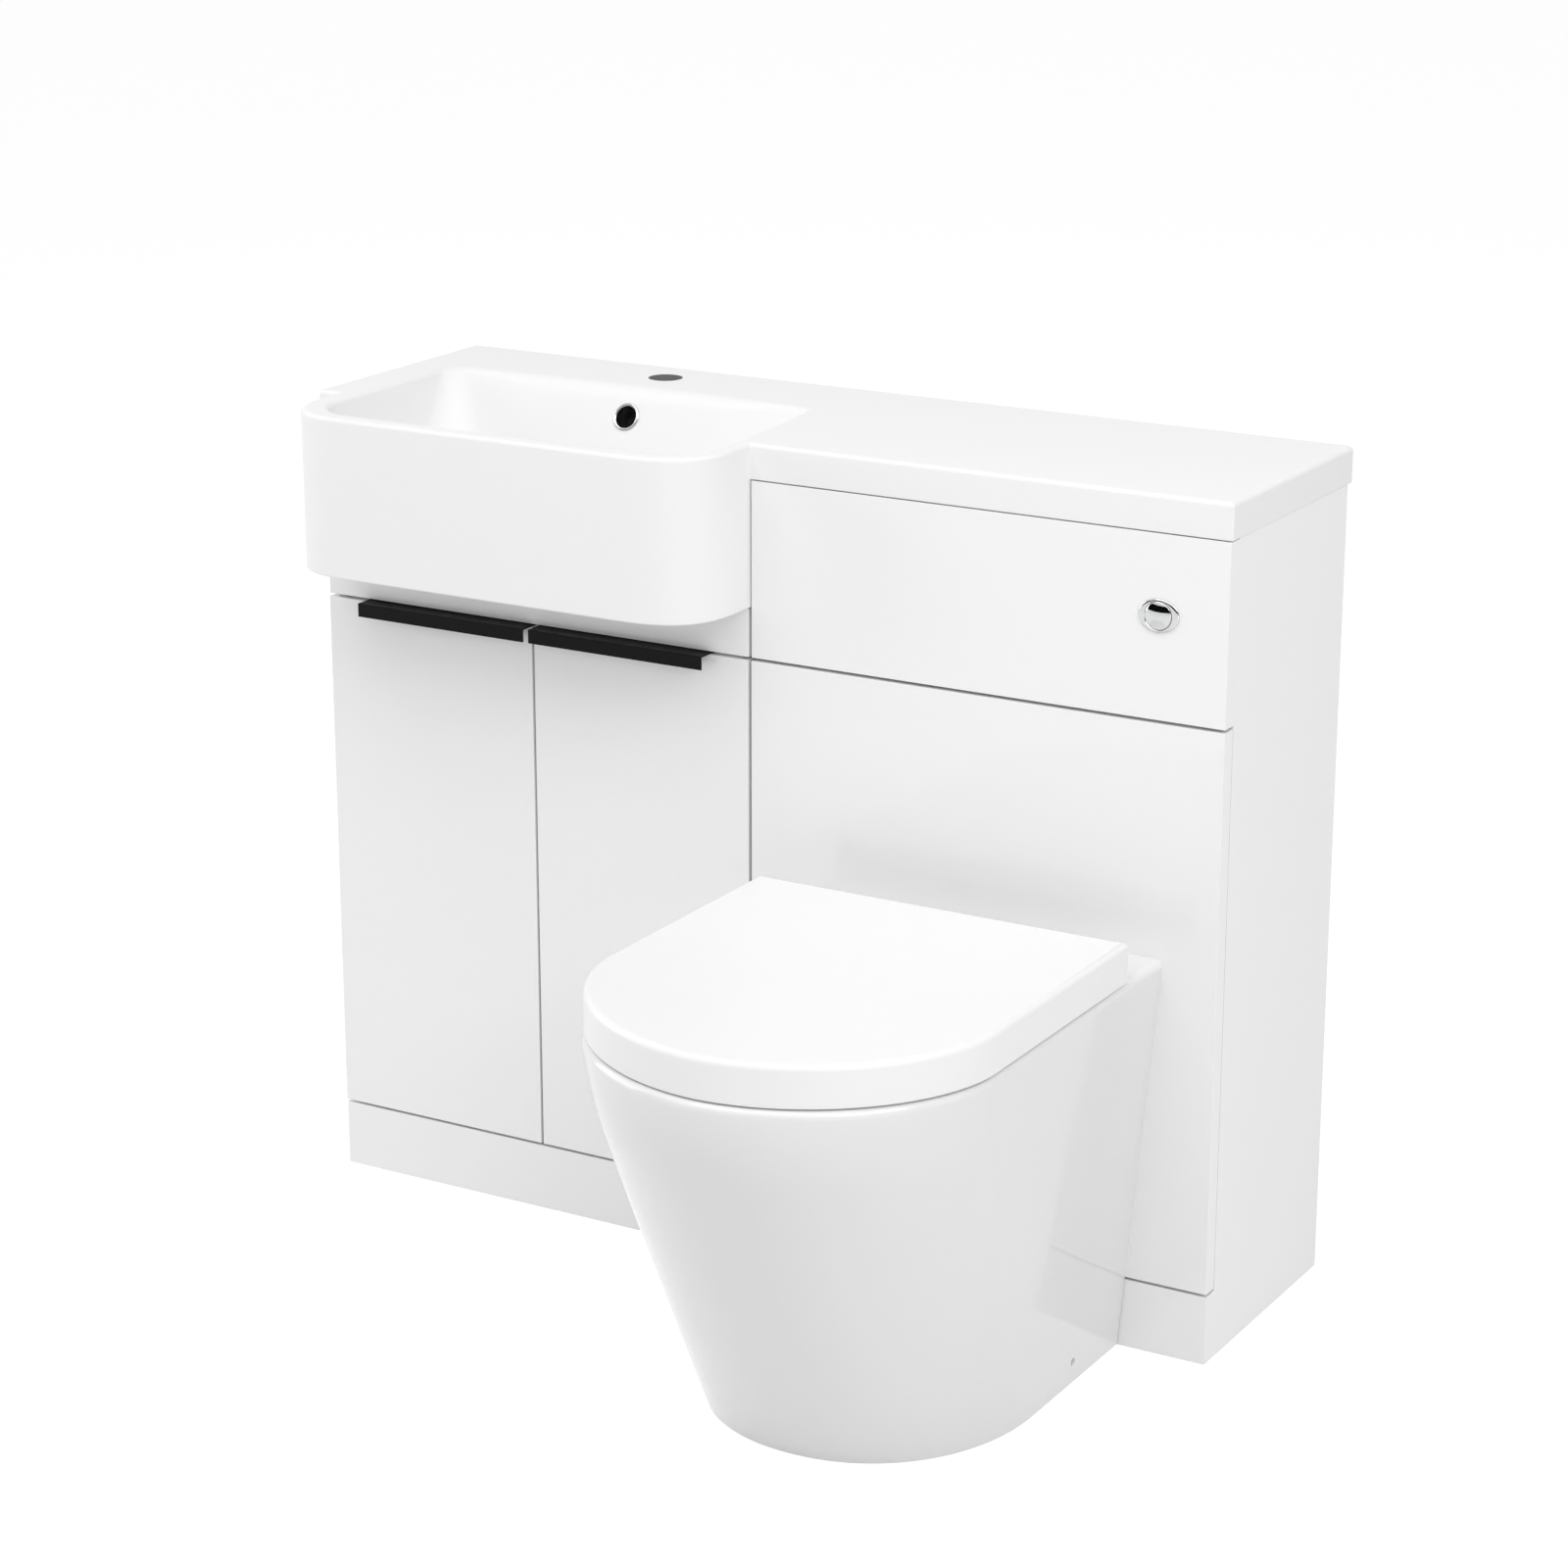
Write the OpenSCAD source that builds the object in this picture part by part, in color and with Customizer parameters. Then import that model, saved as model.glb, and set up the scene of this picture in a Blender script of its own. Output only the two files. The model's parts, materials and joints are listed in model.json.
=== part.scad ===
// Toilet and basin combination unit: a basin cupboard and a toilet cupboard side by side under
// one moulded basin worktop, with a back to wall pan, a concealed cistern and its push button.
// Modules are drawn from the left end of the cupboards (X), the face of the doors (Y) and the
// floor (Z). at_origin() moves them to the middle of the object's footprint.

/* [Cupboards] */
// Width of the basin cupboard
vanity_w = 500; // [480:1:600]
// Width of the toilet cupboard
wc_w = 500; // [480:1:600]
// Depth of the side panels
side_d = 250; // [245:1:320]
// Height of the cupboards under the worktop
carcass_h = 803.5; // [795:0.5:850]
// Thickness of the boards
board_t = 18; // [17:0.5:18.5]
// Height of the plinths
plinth_h = 69.5; // [60:0.5:90]
// Height of the toilet cupboard's fascia
fascia_h = 174.4; // [168:0.2:180]
// Gap between neighbouring fronts
reveal = 3; // [2.5:0.5:4]
// Gap between a front and the outer edge of its cupboard
edge_reveal = 1; // [0.5:0.5:1.5]
// Air gap behind the doors and the access panel
buffer_gap = 1; // [0.9:0.1:1.5]
// Gap between the toilet fascia and the worktop
fascia_top_gap = 1.1; // [0.5:0.1:3]
// Height of the front rails
front_rail_h = 46; // [30:1:48]
// Height of the rails across the back
back_rail_h = 100; // [80:1:120]
// Distance of the upper back rails' underside below the worktop
back_rail_drop = 143.5; // [130:0.5:155]

/* [Basin worktop] */
// Thickness of the worktop slab
slab_t = 35; // [30:0.5:40]
// Overhang of the slab at the left end
slab_over_left = 5; // [2:0.5:8]
// Overhang of the slab at the right end
slab_over_right = 1; // [0.5:0.5:5]
// Overhang of the slab behind the cupboards
slab_over_back = 8.6; // [2:0.1:20]
// Distance of the slab's front edge behind the face of the doors
slab_front_y = 1.5; // [0.5:0.1:3]
// Thickness left over the pockets under the slab
slab_skin = 15; // [12:0.5:20]
// Rounding of the top edges
edge_r = 4.5; // [3:0.5:6]
// Left face of the basin's apron, from the cupboard's left face
apron_left = 19.6; // [18.5:0.1:22]
// Overlap of the apron past the basin cupboard's right face
apron_over_right = 1; // [0:0.1:1.4]
// Projection of the apron in front of the doors
apron_front = 105.4; // [95:0.1:125]
// Distance of the apron's underside below the slab
apron_drop = 126.5; // [122:0.5:128]
// Size of the apron's rounded front corners
apron_corner = 85; // [60:1:95]
// Roundness of those corners, 2 is a circle
apron_power = 2.7; // [2:0.1:3.5]
// Width of the apron's rim at the left
rim_left = 24; // [18:0.5:35]
// Width of the apron's rim at the front
rim_front = 19.4; // [15:0.1:30]
// Width of the apron's rim at the front right
rim_right = 13; // [10:0.5:25]
// How much further the bowl's right side lies inwards at its back
bowl_slant = 12; // [0:1:20]
// Back edge of the bowl behind the face of the doors
bowl_back_y = 168; // [150:1:172]
// Depth of the bowl
bowl_depth = 143; // [120:1:145]
// Lean of the bowl's walls, inwards for each mm down
bowl_draft = 0.2; // [0.1:0.05:0.3]
// Further lean of the bowl's back wall
bowl_back_draft = 0.3; // [0.1:0.05:0.35]
// Rounding between the bowl's walls and its floor
bowl_floor_r = 45; // [25:1:50]
// Thickness of the tub's walls behind the doors
tub_wall = 12; // [8:0.5:12.5]
// Centre of the taps, overflow and waste from the cupboard's left face
tap_x = 265; // [255:0.5:270]
// Tap hole behind the face of the doors
tap_y = 230; // [222:1:240]
// Diameter of the tap hole
tap_d = 35; // [30:1:36]
// Depth of the overflow's centre under the top
overflow_depth = 27.5; // [24:0.5:35]
// Diameter of the overflow ring's flange
overflow_d = 30; // [26:0.5:32]
// Diameter of the overflow passage
overflow_hole_d = 24; // [20:0.5:25]
// Diameter of the waste hole
waste_d = 45; // [43:0.5:50]

/* [Doors] */
// Length of the edge pull handles
handle_len = 200.5; // [150:0.5:201]
// Distance of the right handle from its door's inner edge
handle_right_gap = 3.5; // [0:0.5:8]
// Height of the handle's front lip
handle_lip = 14; // [10:0.5:20]
// Projection of the lip in front of the door
handle_out = 16; // [12:0.5:22]
// Thickness of the handle's metal
handle_t = 1.6; // [1.2:0.1:1.9]
// Height of the handle's flange behind the door
handle_back = 20; // [15:0.5:28]
// Distance of the hinges from the ends of a door
hinge_inset = 90; // [75:1:130]
// Radius of the hinge cups
cup_r = 17.5; // [17:0.1:17.6]
// Depth of the hinge cups
cup_depth = 11.5; // [11:0.1:12]

/* [Pan] */
// Height of the pan's rim
pan_h = 398.4; // [380:0.5:410]
// Width of the pan's foot
pan_foot_w = 318.2; // [300:1:340]
// Distance of the pan's rim inside the lid's sides
pan_rim_in = 0.7; // [0:0.1:2]
// Projection of the pan's foot in front of the doors
pan_foot_front = 357; // [340:1:375]
// Length of the pan's rounded front
pan_nose = 180; // [160:1:200]
// Slope of the pan's front, forwards for each mm up
pan_slope = 0.469; // [0.4:0.005:0.5]
// Height over which the slope turns upright under the rim
pan_turn = 75.5; // [60:0.5:85]
// Rounding of the pan's top edge
pan_edge_r = 8; // [5:0.5:10]
// Thickness of the pan's walls
pan_wall = 13; // [10:0.5:15]
// Width of the pan's rim
pan_rim = 52; // [46:1:56]
// Height of the soil outlet's centre
soil_z = 180; // [170:1:190]
// Outer diameter of the soil spigot
soil_d = 102; // [98:0.5:104]
// Length of the soil spigot behind the face of the doors
soil_out = 45; // [40:1:60]
// Height of the flush inlet's centre below the pan's rim
inlet_drop = 68.4; // [64:0.2:72]
// Distance of the pan's side fixing from the face of the doors
pan_fixing_y = 101; // [80:1:120]
// Height of the pan's side fixing
pan_fixing_z = 24; // [20:1:35]

/* [Seat and lid] */
// Thickness of the lid with its skirt
lid_h = 39.5; // [36:0.5:42]
// Gap between the lid's skirt and the pan
lid_gap = 1.1; // [0.8:0.1:2]
// Width of the lid
lid_w = 392.4; // [382:0.2:396]
// Front of the lid in front of the face of the doors
lid_front = 518.5; // [505:0.5:522]
// Back of the lid in front of the face of the doors
lid_back = 80; // [76:1:90]
// Rounding of the lid's top edge
lid_edge_r = 6; // [4:0.5:7]
// Thickness of the lid's shell
lid_wall = 3; // [2.5:0.1:4]
// Thickness of the lid's top
lid_top = 5; // [4:0.1:6]
// Width of the seat's ring
seat_ring_w = 64; // [58:1:70]
// Distance of the seat fixings from each other
seat_fixing_w = 155; // [140:1:165]
// Height of the seat hinge's axis above the pan
seat_axis_h = 23.6; // [23:0.1:24.2]
// Distance of that axis in front of the lid's back edge
seat_axis_in = 5; // [4.5:0.1:5.5]
// Diameter of the seat's hinge pins
seat_pin_d = 8; // [6:0.5:9]

/* [Cistern] */
// Width of the cistern tank
tank_w = 380; // [340:1:385]
// Depth of the cistern tank
tank_d = 130; // [120:1:134]
// Distance of the cistern tank's top below the worktop
tank_top_gap = 33.5; // [25:0.5:40]
// Height of the tank's floor
tank_z = 470; // [465:1:478]
// Thickness of the tank's walls
tank_wall = 3; // [2.5:0.1:4]
// Distance between the tank and the rail that carries it
tank_standoff = 16; // [12:1:18]
// Outer diameter of the flush pipe
pipe_d = 40; // [36:0.5:40]
// Radius of the flush pipe's bend at its centre line
pipe_bend_r = 60; // [55:1:62]
// Outer diameter of the air hose
hose_d = 6; // [5:0.5:7]
// Radius of the air hose's bend at its centre line
hose_bend_r = 25; // [18:1:30]

/* [Push button] */
// Distance of the button from the toilet cupboard's right face
button_right = 69; // [60:1:80]
// Distance of the button's centre below the worktop
button_drop = 76.9; // [70:0.1:85]
// Diameter of the button
button_d = 26.4; // [24:0.2:27]
// Width of the oval bezel
bezel_w = 41; // [36:0.5:46]
// Height of the oval bezel
bezel_h = 31.6; // [31:0.1:34]
// Projection of the bezel in front of the fascia
bezel_t = 2.4; // [1.5:0.1:4]
// Travel of the button
button_travel = 5; // [3:0.5:6]
// Rise of the button's dome in front of the bezel
dome_h = 3; // [2:0.5:5]

/* [Hidden] */
$fn = 64;

white_board = [0.93, 0.93, 0.93];
white_stone = [0.96, 0.96, 0.96];
white_china = [0.94, 0.94, 0.95];
white_plastic = [0.97, 0.97, 0.97];
chrome_grey = [0.72, 0.73, 0.75];
steel_grey = [0.62, 0.63, 0.65];
satin_black = [0.05, 0.05, 0.05];
tank_grey = [0.86, 0.87, 0.88];
rubber_black = [0.12, 0.12, 0.12];

seat_touch = 0.1;   // gap between a soft buffer and what it meets on another piece
run_gap = 0.05;     // radial gap of a pin in its bore
free_gap = 0.3;     // radial gap of a part that slides or passes through
slit = 0.02;        // how far a cut runs past the face that it opens

unit_w = vanity_w + wc_w;
carcass_y = board_t + buffer_gap;
carcass_back = carcass_y + side_d;
door_z = plinth_h + reveal;
fascia_top = carcass_h - fascia_top_gap;
fascia_z = fascia_top - fascia_h;
door_top = fascia_z - reveal;
back_rail_z = carcass_h - back_rail_drop;
apron_z = carcass_h - apron_drop;
button_z = carcass_h - button_drop;
tank_top = carcass_h - tank_top_gap;
tank_h = tank_top - tank_z;
pan_rim_w = lid_w - 2 * pan_rim_in;
inlet_z = pan_h - inlet_drop;
top_z = carcass_h + slab_t;
base_z = plinth_h + reveal / 2;
slab_back = carcass_back + slab_over_back;
pan_x = vanity_w + wc_w / 2;
door_w = (vanity_w - 2 * edge_reveal - reveal) / 2;
wc_front_x = vanity_w + reveal - edge_reveal / 2;

pan_reach = pan_slope * (pan_h - pan_edge_r - pan_turn / 2);
pan_front = pan_foot_front + pan_reach;
origin_x = (unit_w + slab_over_right - slab_over_left) / 2;
origin_y = (slab_back - pan_front) / 2;

module at_origin() {
    translate([-origin_x, -origin_y, 0]) children();
}

// A plain box given by two opposite corners
module block(low, high) {
    translate(low) cube(high - low);
}

// A round bar along Y, from y0 to y1
module bar_y(r, x, z, y0, y1) {
    translate([x, y0, z]) rotate([-90, 0, 0]) cylinder(r = r, h = y1 - y0);
}

// A round bar along X, from x0 to x1
module bar_x(r, y, z, x0, x1) {
    translate([x0, y, z]) rotate([0, 90, 0]) cylinder(r = r, h = x1 - x0);
}

// A quarter of a round bend, in the plane and from the axis that rotate_extrude starts on
module bend(r, bend_r, start, turn) {
    rotate_extrude(angle = turn, start = start) translate([bend_r, 0]) circle(r = r);
}

// A slice of an outline, thin or upright over a height, from which hull() builds a shell
module slice(z, points, upright = slit) {
    translate([0, 0, z]) linear_extrude(height = upright) polygon(points);
}

function arc_points(c, r, from, to, steps) =
    [for (i = [0:steps]) let (a = from + (to - from) * i / steps)
        [c[0] + r * cos(a), c[1] + r * sin(a)]];

function power_arc(c, rx, ry, power, from, to, steps) =
    [for (i = [0:steps]) let (a = from + (to - from) * i / steps)
        [c[0] + rx * sign(cos(a)) * pow(abs(cos(a)), 2 / power),
         c[1] + ry * sign(sin(a)) * pow(abs(sin(a)), 2 / power)]];

function rounded_box(x0, x1, y0, y1, r) = concat(
    arc_points([x1 - r, y1 - r], r, 0, 90, 6),
    arc_points([x0 + r, y1 - r], r, 90, 180, 6),
    arc_points([x0 + r, y0 + r], r, 180, 270, 6),
    arc_points([x1 - r, y0 + r], r, 270, 360, 6));

// ---------------------------------------------------------------- basin worktop

apron_right = vanity_w + apron_over_right;
bowl_x0 = apron_left + rim_left;
bowl_x1 = apron_right - rim_right;
bowl_y0 = -apron_front + rim_front;
bowl_z = top_z - bowl_depth;
bowl_front_r = 55;
bowl_back_r = 22;
bowl_lean = atan(bowl_draft);
bowl_knee = bowl_depth - bowl_floor_r * (1 - sin(bowl_lean));
bowl_steps = 6;

// Inset of the bowl's wall at a depth, on the sloping part and on the rounding to the floor
function bowl_profile() = concat([[-1, -bowl_draft], [0, 0]],
    [for (i = [0:bowl_steps]) let (a = bowl_lean + (90 - bowl_lean) * i / bowl_steps)
        [bowl_depth - bowl_floor_r * (1 - sin(a)),
         bowl_knee * bowl_draft + bowl_floor_r * (cos(bowl_lean) - cos(a))]]);

function bowl_outline(inset, depth) = let (
    rf = max(bowl_front_r - inset * 0.5, 10),
    rb = max(bowl_back_r - inset * 0.2, 8),
    back = bowl_back_y - inset - bowl_back_draft * depth) concat(
    arc_points([bowl_x1 - bowl_slant - inset - rb, back - rb], rb, 0, 90, 6),
    arc_points([bowl_x0 + inset + rb, back - rb], rb, 90, 180, 6),
    arc_points([bowl_x0 + inset + rf, bowl_y0 + inset + rf], rf, 180, 270, 8),
    arc_points([bowl_x1 - inset - rf, bowl_y0 + inset + rf], rf, 270, 360, 8));

function apron_outline(inset, back = carcass_y) = concat(
    [[apron_right - inset, back], [apron_left + inset, back]],
    power_arc([apron_left + apron_corner, -apron_front + apron_corner],
        apron_corner - inset, apron_corner - inset, apron_power, 180, 270, 12),
    power_arc([apron_right - apron_corner, -apron_front + apron_corner],
        apron_corner - inset, apron_corner - inset, apron_power, 270, 360, 12));

module slab() {
    x0 = -slab_over_left;
    x1 = unit_w + slab_over_right;
    intersection() {
        translate([x0, 0, 0]) rotate([90, 0, 90]) linear_extrude(height = x1 - x0)
            polygon(concat([[slab_back, top_z], [slab_back, carcass_h], [slab_front_y, carcass_h]],
                arc_points([slab_front_y + edge_r, top_z - edge_r], edge_r, 180, 90, 6)));
        translate([0, slab_back, 0]) rotate([90, 0, 0])
            linear_extrude(height = slab_back - slab_front_y)
            polygon(concat([[x1, carcass_h], [x0, carcass_h]],
                arc_points([x0 + edge_r, top_z - edge_r], edge_r, 180, 90, 6),
                arc_points([x1 - edge_r, top_z - edge_r], edge_r, 90, 0, 6)));
    }
}

module apron() {
    foot_r = 2;
    hull() {
        slice(apron_z, apron_outline(foot_r));
        slice(apron_z + foot_r, apron_outline(0), top_z - edge_r - apron_z - foot_r);
        for (a = [30, 60, 90]) slice(top_z - edge_r * (1 - sin(a)) - slit,
            apron_outline(edge_r * (1 - cos(a))));
    }
}

module tub() {
    hull() for (p = bowl_profile()) if (p[0] >= 0)
        slice(top_z - slit - max(p[0], slab_t) - (p[0] >= bowl_depth ? tub_wall : 0),
            bowl_outline(p[1] - tub_wall, p[0]));
}

module bowl() {
    hull() for (p = bowl_profile()) slice(top_z - p[0], bowl_outline(p[1], p[0]));
}

waste_y = 20;
rib_half = 17;
rib_back = bowl_back_y + tub_wall;
duct_y = rib_back - 9;
overflow_z = top_z - overflow_depth;
overflow_y = bowl_back_y - overflow_depth * (bowl_draft + bowl_back_draft);
overflow_lean = atan(bowl_draft + bowl_back_draft);
overflow_run = 22;
tap_pocket = 32;

// Turns a piece so that its -Y side lies on the bowl's leaning back wall at the overflow
module at_overflow() {
    translate([tap_x, overflow_y, overflow_z]) rotate([-overflow_lean, 0, 0]) children();
}

// The cast-in channel from the overflow down to the waste
module overflow_duct() {
    r = 4;
    translate([tap_x, duct_y, bowl_z - tub_wall / 2])
        cylinder(r = r, h = overflow_z - bowl_z + tub_wall / 2);
    bar_y(r, tap_x, bowl_z - tub_wall / 2, waste_y, duct_y);
    at_overflow() bar_y(overflow_hole_d / 2, 0, 0, -tub_wall / 2, overflow_run);
}

module basin_worktop() {
    pocket_y0 = carcass_y + 4;
    pocket_z = top_z - slab_skin;
    color(white_stone) at_origin() difference() {
        union() {
            slab();
            difference() {
                apron();
                translate([0, 0, apron_z - 1]) linear_extrude(height = carcass_h - apron_z + 1)
                    polygon(apron_outline(tub_wall, carcass_y + 1));
            }
            tub();
            block([tap_x - rib_half, waste_y, bowl_z - tub_wall],
                [tap_x + rib_half, rib_back, carcass_h + 1]);
        }
        bowl();
        overflow_duct();
        translate([tap_x, tap_y, carcass_h - slit]) cylinder(d = tap_d, h = slab_t + 2 * slit);
        block([tap_x - tap_pocket, tap_y - tap_pocket, carcass_h - slit],
            [tap_x + tap_pocket, tap_y + tap_pocket, pocket_z]);
        block([vanity_w + board_t + 4, pocket_y0, carcass_h - slit],
            [unit_w - board_t - 4, carcass_back - board_t, pocket_z]);
        translate([tap_x, waste_y, bowl_z - 2 * tub_wall]) cylinder(d = waste_d, h = 3 * tub_wall);
    }
}

module overflow_ring() {
    flange_t = 1.6;
    wall = 1.2;
    color(chrome_grey) at_origin() at_overflow() difference() {
        union() {
            bar_y(overflow_d / 2, 0, 0, -flange_t, 0);
            bar_y(overflow_hole_d / 2 - free_gap, 0, 0, 0, overflow_run / 2);
        }
        bar_y(overflow_hole_d / 2 - free_gap - wall, 0, 0, -flange_t - 1, overflow_run);
    }
}

// ---------------------------------------------------------------- cupboards

cam_r = 7.5;
cam_deep = 12.5;
cam_in = 24;
cam_row_in = 32;
connector_d = 6;
connector_front = 45;
connector_back = 35;
connector_low = 147.5;
connector_high = 155;
connectors = [for (y = [carcass_y + connector_front, carcass_back - connector_back],
    z = [door_z + connector_low, door_top - connector_high]) [y, z]];
plate_hole_z = 16;
plate_hole_y = 56;
plate_hole_d = 4;
plate_hole_deep = 11;
hinge_z = [door_z + hinge_inset, door_top - hinge_inset];
bracket_h = 36;
bracket_leg = 38;
bracket_t = 2;
bracket_z = carcass_h - bracket_h - 4;

module side_panel(x) {
    block([x, carcass_y, 0], [x + board_t, carcass_back, carcass_h]);
}

module connector_holes() {
    for (c = connectors)
        bar_x(connector_d / 2 + free_gap, c[0], c[1], vanity_w - board_t - 1, vanity_w + board_t + 1);
}

// Blind holes for the screws of the hinge plates, from the inner face at x towards dir
module plate_holes(x, dir) {
    for (z = hinge_z, s = [-1, 1])
        bar_x(plate_hole_d / 2, plate_hole_y + carcass_y - board_t, z + s * plate_hole_z,
            min(x, x + dir * plate_hole_deep), max(x, x + dir * plate_hole_deep));
}

// Round recesses for the cam locks of a board between x0 and x1, from its face at z upwards
module cam_places(x0, x1, y0, y1) {
    for (x = [x0 + cam_in, x1 - cam_in], y = [y0 + cam_row_in, y1 - cam_row_in])
        translate([x, y, 0]) children();
}

module vanity_side_left() {
    color(white_board) at_origin() difference() {
        side_panel(0);
        plate_holes(board_t, -1);
    }
}

basin_gap = 1.5;

module vanity_side_right() {
    x = vanity_w - board_t;
    color(white_board) at_origin() difference() {
        side_panel(x);
        plate_holes(x, 1);
        connector_holes();
        block([x - 1, carcass_y - 1, apron_z - basin_gap],
            [vanity_w + 1, bowl_back_y + tub_wall + basin_gap, carcass_h + 1]);
    }
}

base_y1 = carcass_back - board_t;

module vanity_base() {
    color(white_board) at_origin() difference() {
        block([board_t, carcass_y, base_z], [vanity_w - board_t, base_y1, base_z + board_t]);
        cam_places(board_t, vanity_w - board_t, carcass_y, base_y1)
            translate([0, 0, base_z - 1]) cylinder(r = cam_r + seat_touch, h = cam_deep + 1);
    }
}

module vanity_front_rail() {
    color(white_board) at_origin()
        block([board_t, carcass_y, fascia_z],
            [vanity_w - board_t, carcass_y + board_t, fascia_z + front_rail_h]);
}

module vanity_back_rails() {
    color(white_board) at_origin() for (z = [base_z, back_rail_z])
        block([board_t, carcass_back - board_t, z],
            [vanity_w - board_t, carcass_back, z + back_rail_h]);
}

module vanity_fascia() {
    strip_top = apron_z - edge_reveal;
    color(white_board) at_origin() union() {
        block([edge_reveal, buffer_gap, fascia_z],
            [vanity_w - edge_reveal, carcass_y, strip_top]);
        block([edge_reveal, buffer_gap, strip_top],
            [apron_left - edge_reveal, carcass_y, fascia_top]);
    }
}

module vanity_plinth() {
    color(white_board) at_origin()
        block([edge_reveal, buffer_gap, 0], [vanity_w - edge_reveal / 2, carcass_y, plinth_h]);
}

module wc_side_left() {
    color(white_board) at_origin() difference() {
        side_panel(vanity_w);
        connector_holes();
    }
}

module wc_side_right() {
    color(white_board) at_origin() side_panel(unit_w - board_t);
}

module wc_front_rail() {
    color(white_board) at_origin()
        block([vanity_w + board_t, carcass_y, fascia_z],
            [unit_w - board_t, carcass_y + board_t, fascia_z + front_rail_h]);
}

module wc_back_rail() {
    color(white_board) at_origin()
        block([vanity_w + board_t, carcass_back - board_t, back_rail_z],
            [unit_w - board_t, carcass_back, back_rail_z + back_rail_h]);
}

button_x = unit_w - button_right;
housing_r = button_d / 2 + free_gap + 1.1;

module wc_fascia() {
    color(white_board) at_origin() difference() {
        block([wc_front_x, buffer_gap, fascia_z], [unit_w, carcass_y, fascia_top]);
        bar_y(housing_r + free_gap, button_x, button_z, 0, carcass_y + 1);
    }
}

soil_panel_r = soil_d / 2 + 9;
inlet_r = 27.5;
seal_flange = 5;
pipe_panel_r = inlet_r + seal_flange + 2;

module access_panel() {
    color(white_board) at_origin() difference() {
        block([wc_front_x, 0, door_z], [unit_w, board_t, door_top]);
        bar_y(soil_panel_r, pan_x, soil_z, -1, board_t + 1);
        bar_y(pipe_panel_r, pan_x, inlet_z, -1, board_t + 1);
    }
}

module wc_plinth() {
    color(white_board) at_origin()
        block([wc_front_x, buffer_gap, 0], [unit_w, carcass_y, plinth_h]);
}

// Corner blocks that hold the access panel to the sides
module panel_blocks() {
    size = 22;
    color(white_plastic) at_origin()
        for (x = [vanity_w + board_t, unit_w - board_t - size], z = [door_z + 77.5, door_top - 115])
            block([x, board_t, z], [x + size, board_t + size, z + size]);
}

// Cam locks in the underside of the base board, each with a cross slot
module cam_locks() {
    slot = 1.5;
    color(steel_grey) at_origin()
        cam_places(board_t, vanity_w - board_t, carcass_y, base_y1)
        translate([0, 0, base_z]) difference() {
            cylinder(r = cam_r, h = cam_deep);
            for (a = [0, 90]) rotate([0, 0, a])
                translate([-cam_r / 2, -slot / 2, -1]) cube([cam_r, slot, 3]);
        }
}

module unit_connectors() {
    head_r = 8;
    head_t = 2;
    color(steel_grey) at_origin() for (c = connectors) {
        bar_x(connector_d / 2, c[0], c[1], vanity_w - board_t - head_t, vanity_w + board_t + head_t);
        for (x = [vanity_w - board_t - head_t, vanity_w + board_t])
            bar_x(head_r, c[0], c[1], x, x + head_t);
    }
}

bracket_hole_x = 22;

// Angle brackets that hold the cupboards to the wall, one in each upper back corner
module wall_bracket(x, dir) {
    hole_r = 3;
    translate([x, 0, 0]) mirror([dir < 0 ? 1 : 0, 0, 0]) difference() {
        union() {
            block([0, carcass_back - bracket_leg, bracket_z],
                [bracket_t, carcass_back, bracket_z + bracket_h]);
            block([0, carcass_back - bracket_t, bracket_z],
                [bracket_leg, carcass_back, bracket_z + bracket_h]);
        }
        bar_y(hole_r, bracket_hole_x, bracket_z + bracket_h / 2,
            carcass_back - bracket_t - 1, carcass_back + 1);
    }
}

module wall_brackets() {
    color(steel_grey) at_origin() {
        wall_bracket(board_t, 1);
        wall_bracket(vanity_w - board_t, -1);
        wall_bracket(vanity_w + board_t, 1);
        wall_bracket(unit_w - board_t, -1);
    }
}

// ---------------------------------------------------------------- doors, handles, hinges

// Mirrors the left door's hardware for the right door
module on_right() {
    translate([vanity_w, 0, 0]) mirror([1, 0, 0]) children();
}

// Hinge geometry of the left door in plan, from the cupboard's left face
cup_x = 21.5;
arm_pin_x = 16.5;
arm_pin_y = 14.5;
arm_pin = [board_t + arm_pin_x, carcass_y + arm_pin_y];
cup_pin_x = 10.3;
cup_pin_y = 14.7;
cup_pin = [cup_pin_x, cup_pin_y];
knee_x = 19;
knee_y = 10.6;
link_knee = [knee_x, knee_y];
link_half = 1.7;
link_eye = 3;
link_half_h = 5;
hinge_pin_r = 1.5;
cup_wall = 1;
cup_y = board_t - cup_depth;

module door_left() {
    color(white_board) at_origin() difference() {
        block([edge_reveal, 0, door_z], [edge_reveal + door_w, board_t, door_top]);
        for (z = hinge_z) bar_y(cup_r + seat_touch, cup_x, z, cup_y, board_t + 1);
    }
}

module door_right() {
    color(white_board) at_origin() on_right() difference() {
        block([edge_reveal, 0, door_z], [edge_reveal + door_w, board_t, door_top]);
        for (z = hinge_z) bar_y(cup_r + seat_touch, cup_x, z, cup_y, board_t + 1);
    }
}

handle_top = door_top + handle_t;
handle_left_x = edge_reveal + door_w - handle_len;
handle_right_x = edge_reveal + door_w + reveal + handle_right_gap;
handle_screw_in = 25;
handle_screw_z = door_top - handle_back / 2;
handle_screw_r = 1.75;

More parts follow.
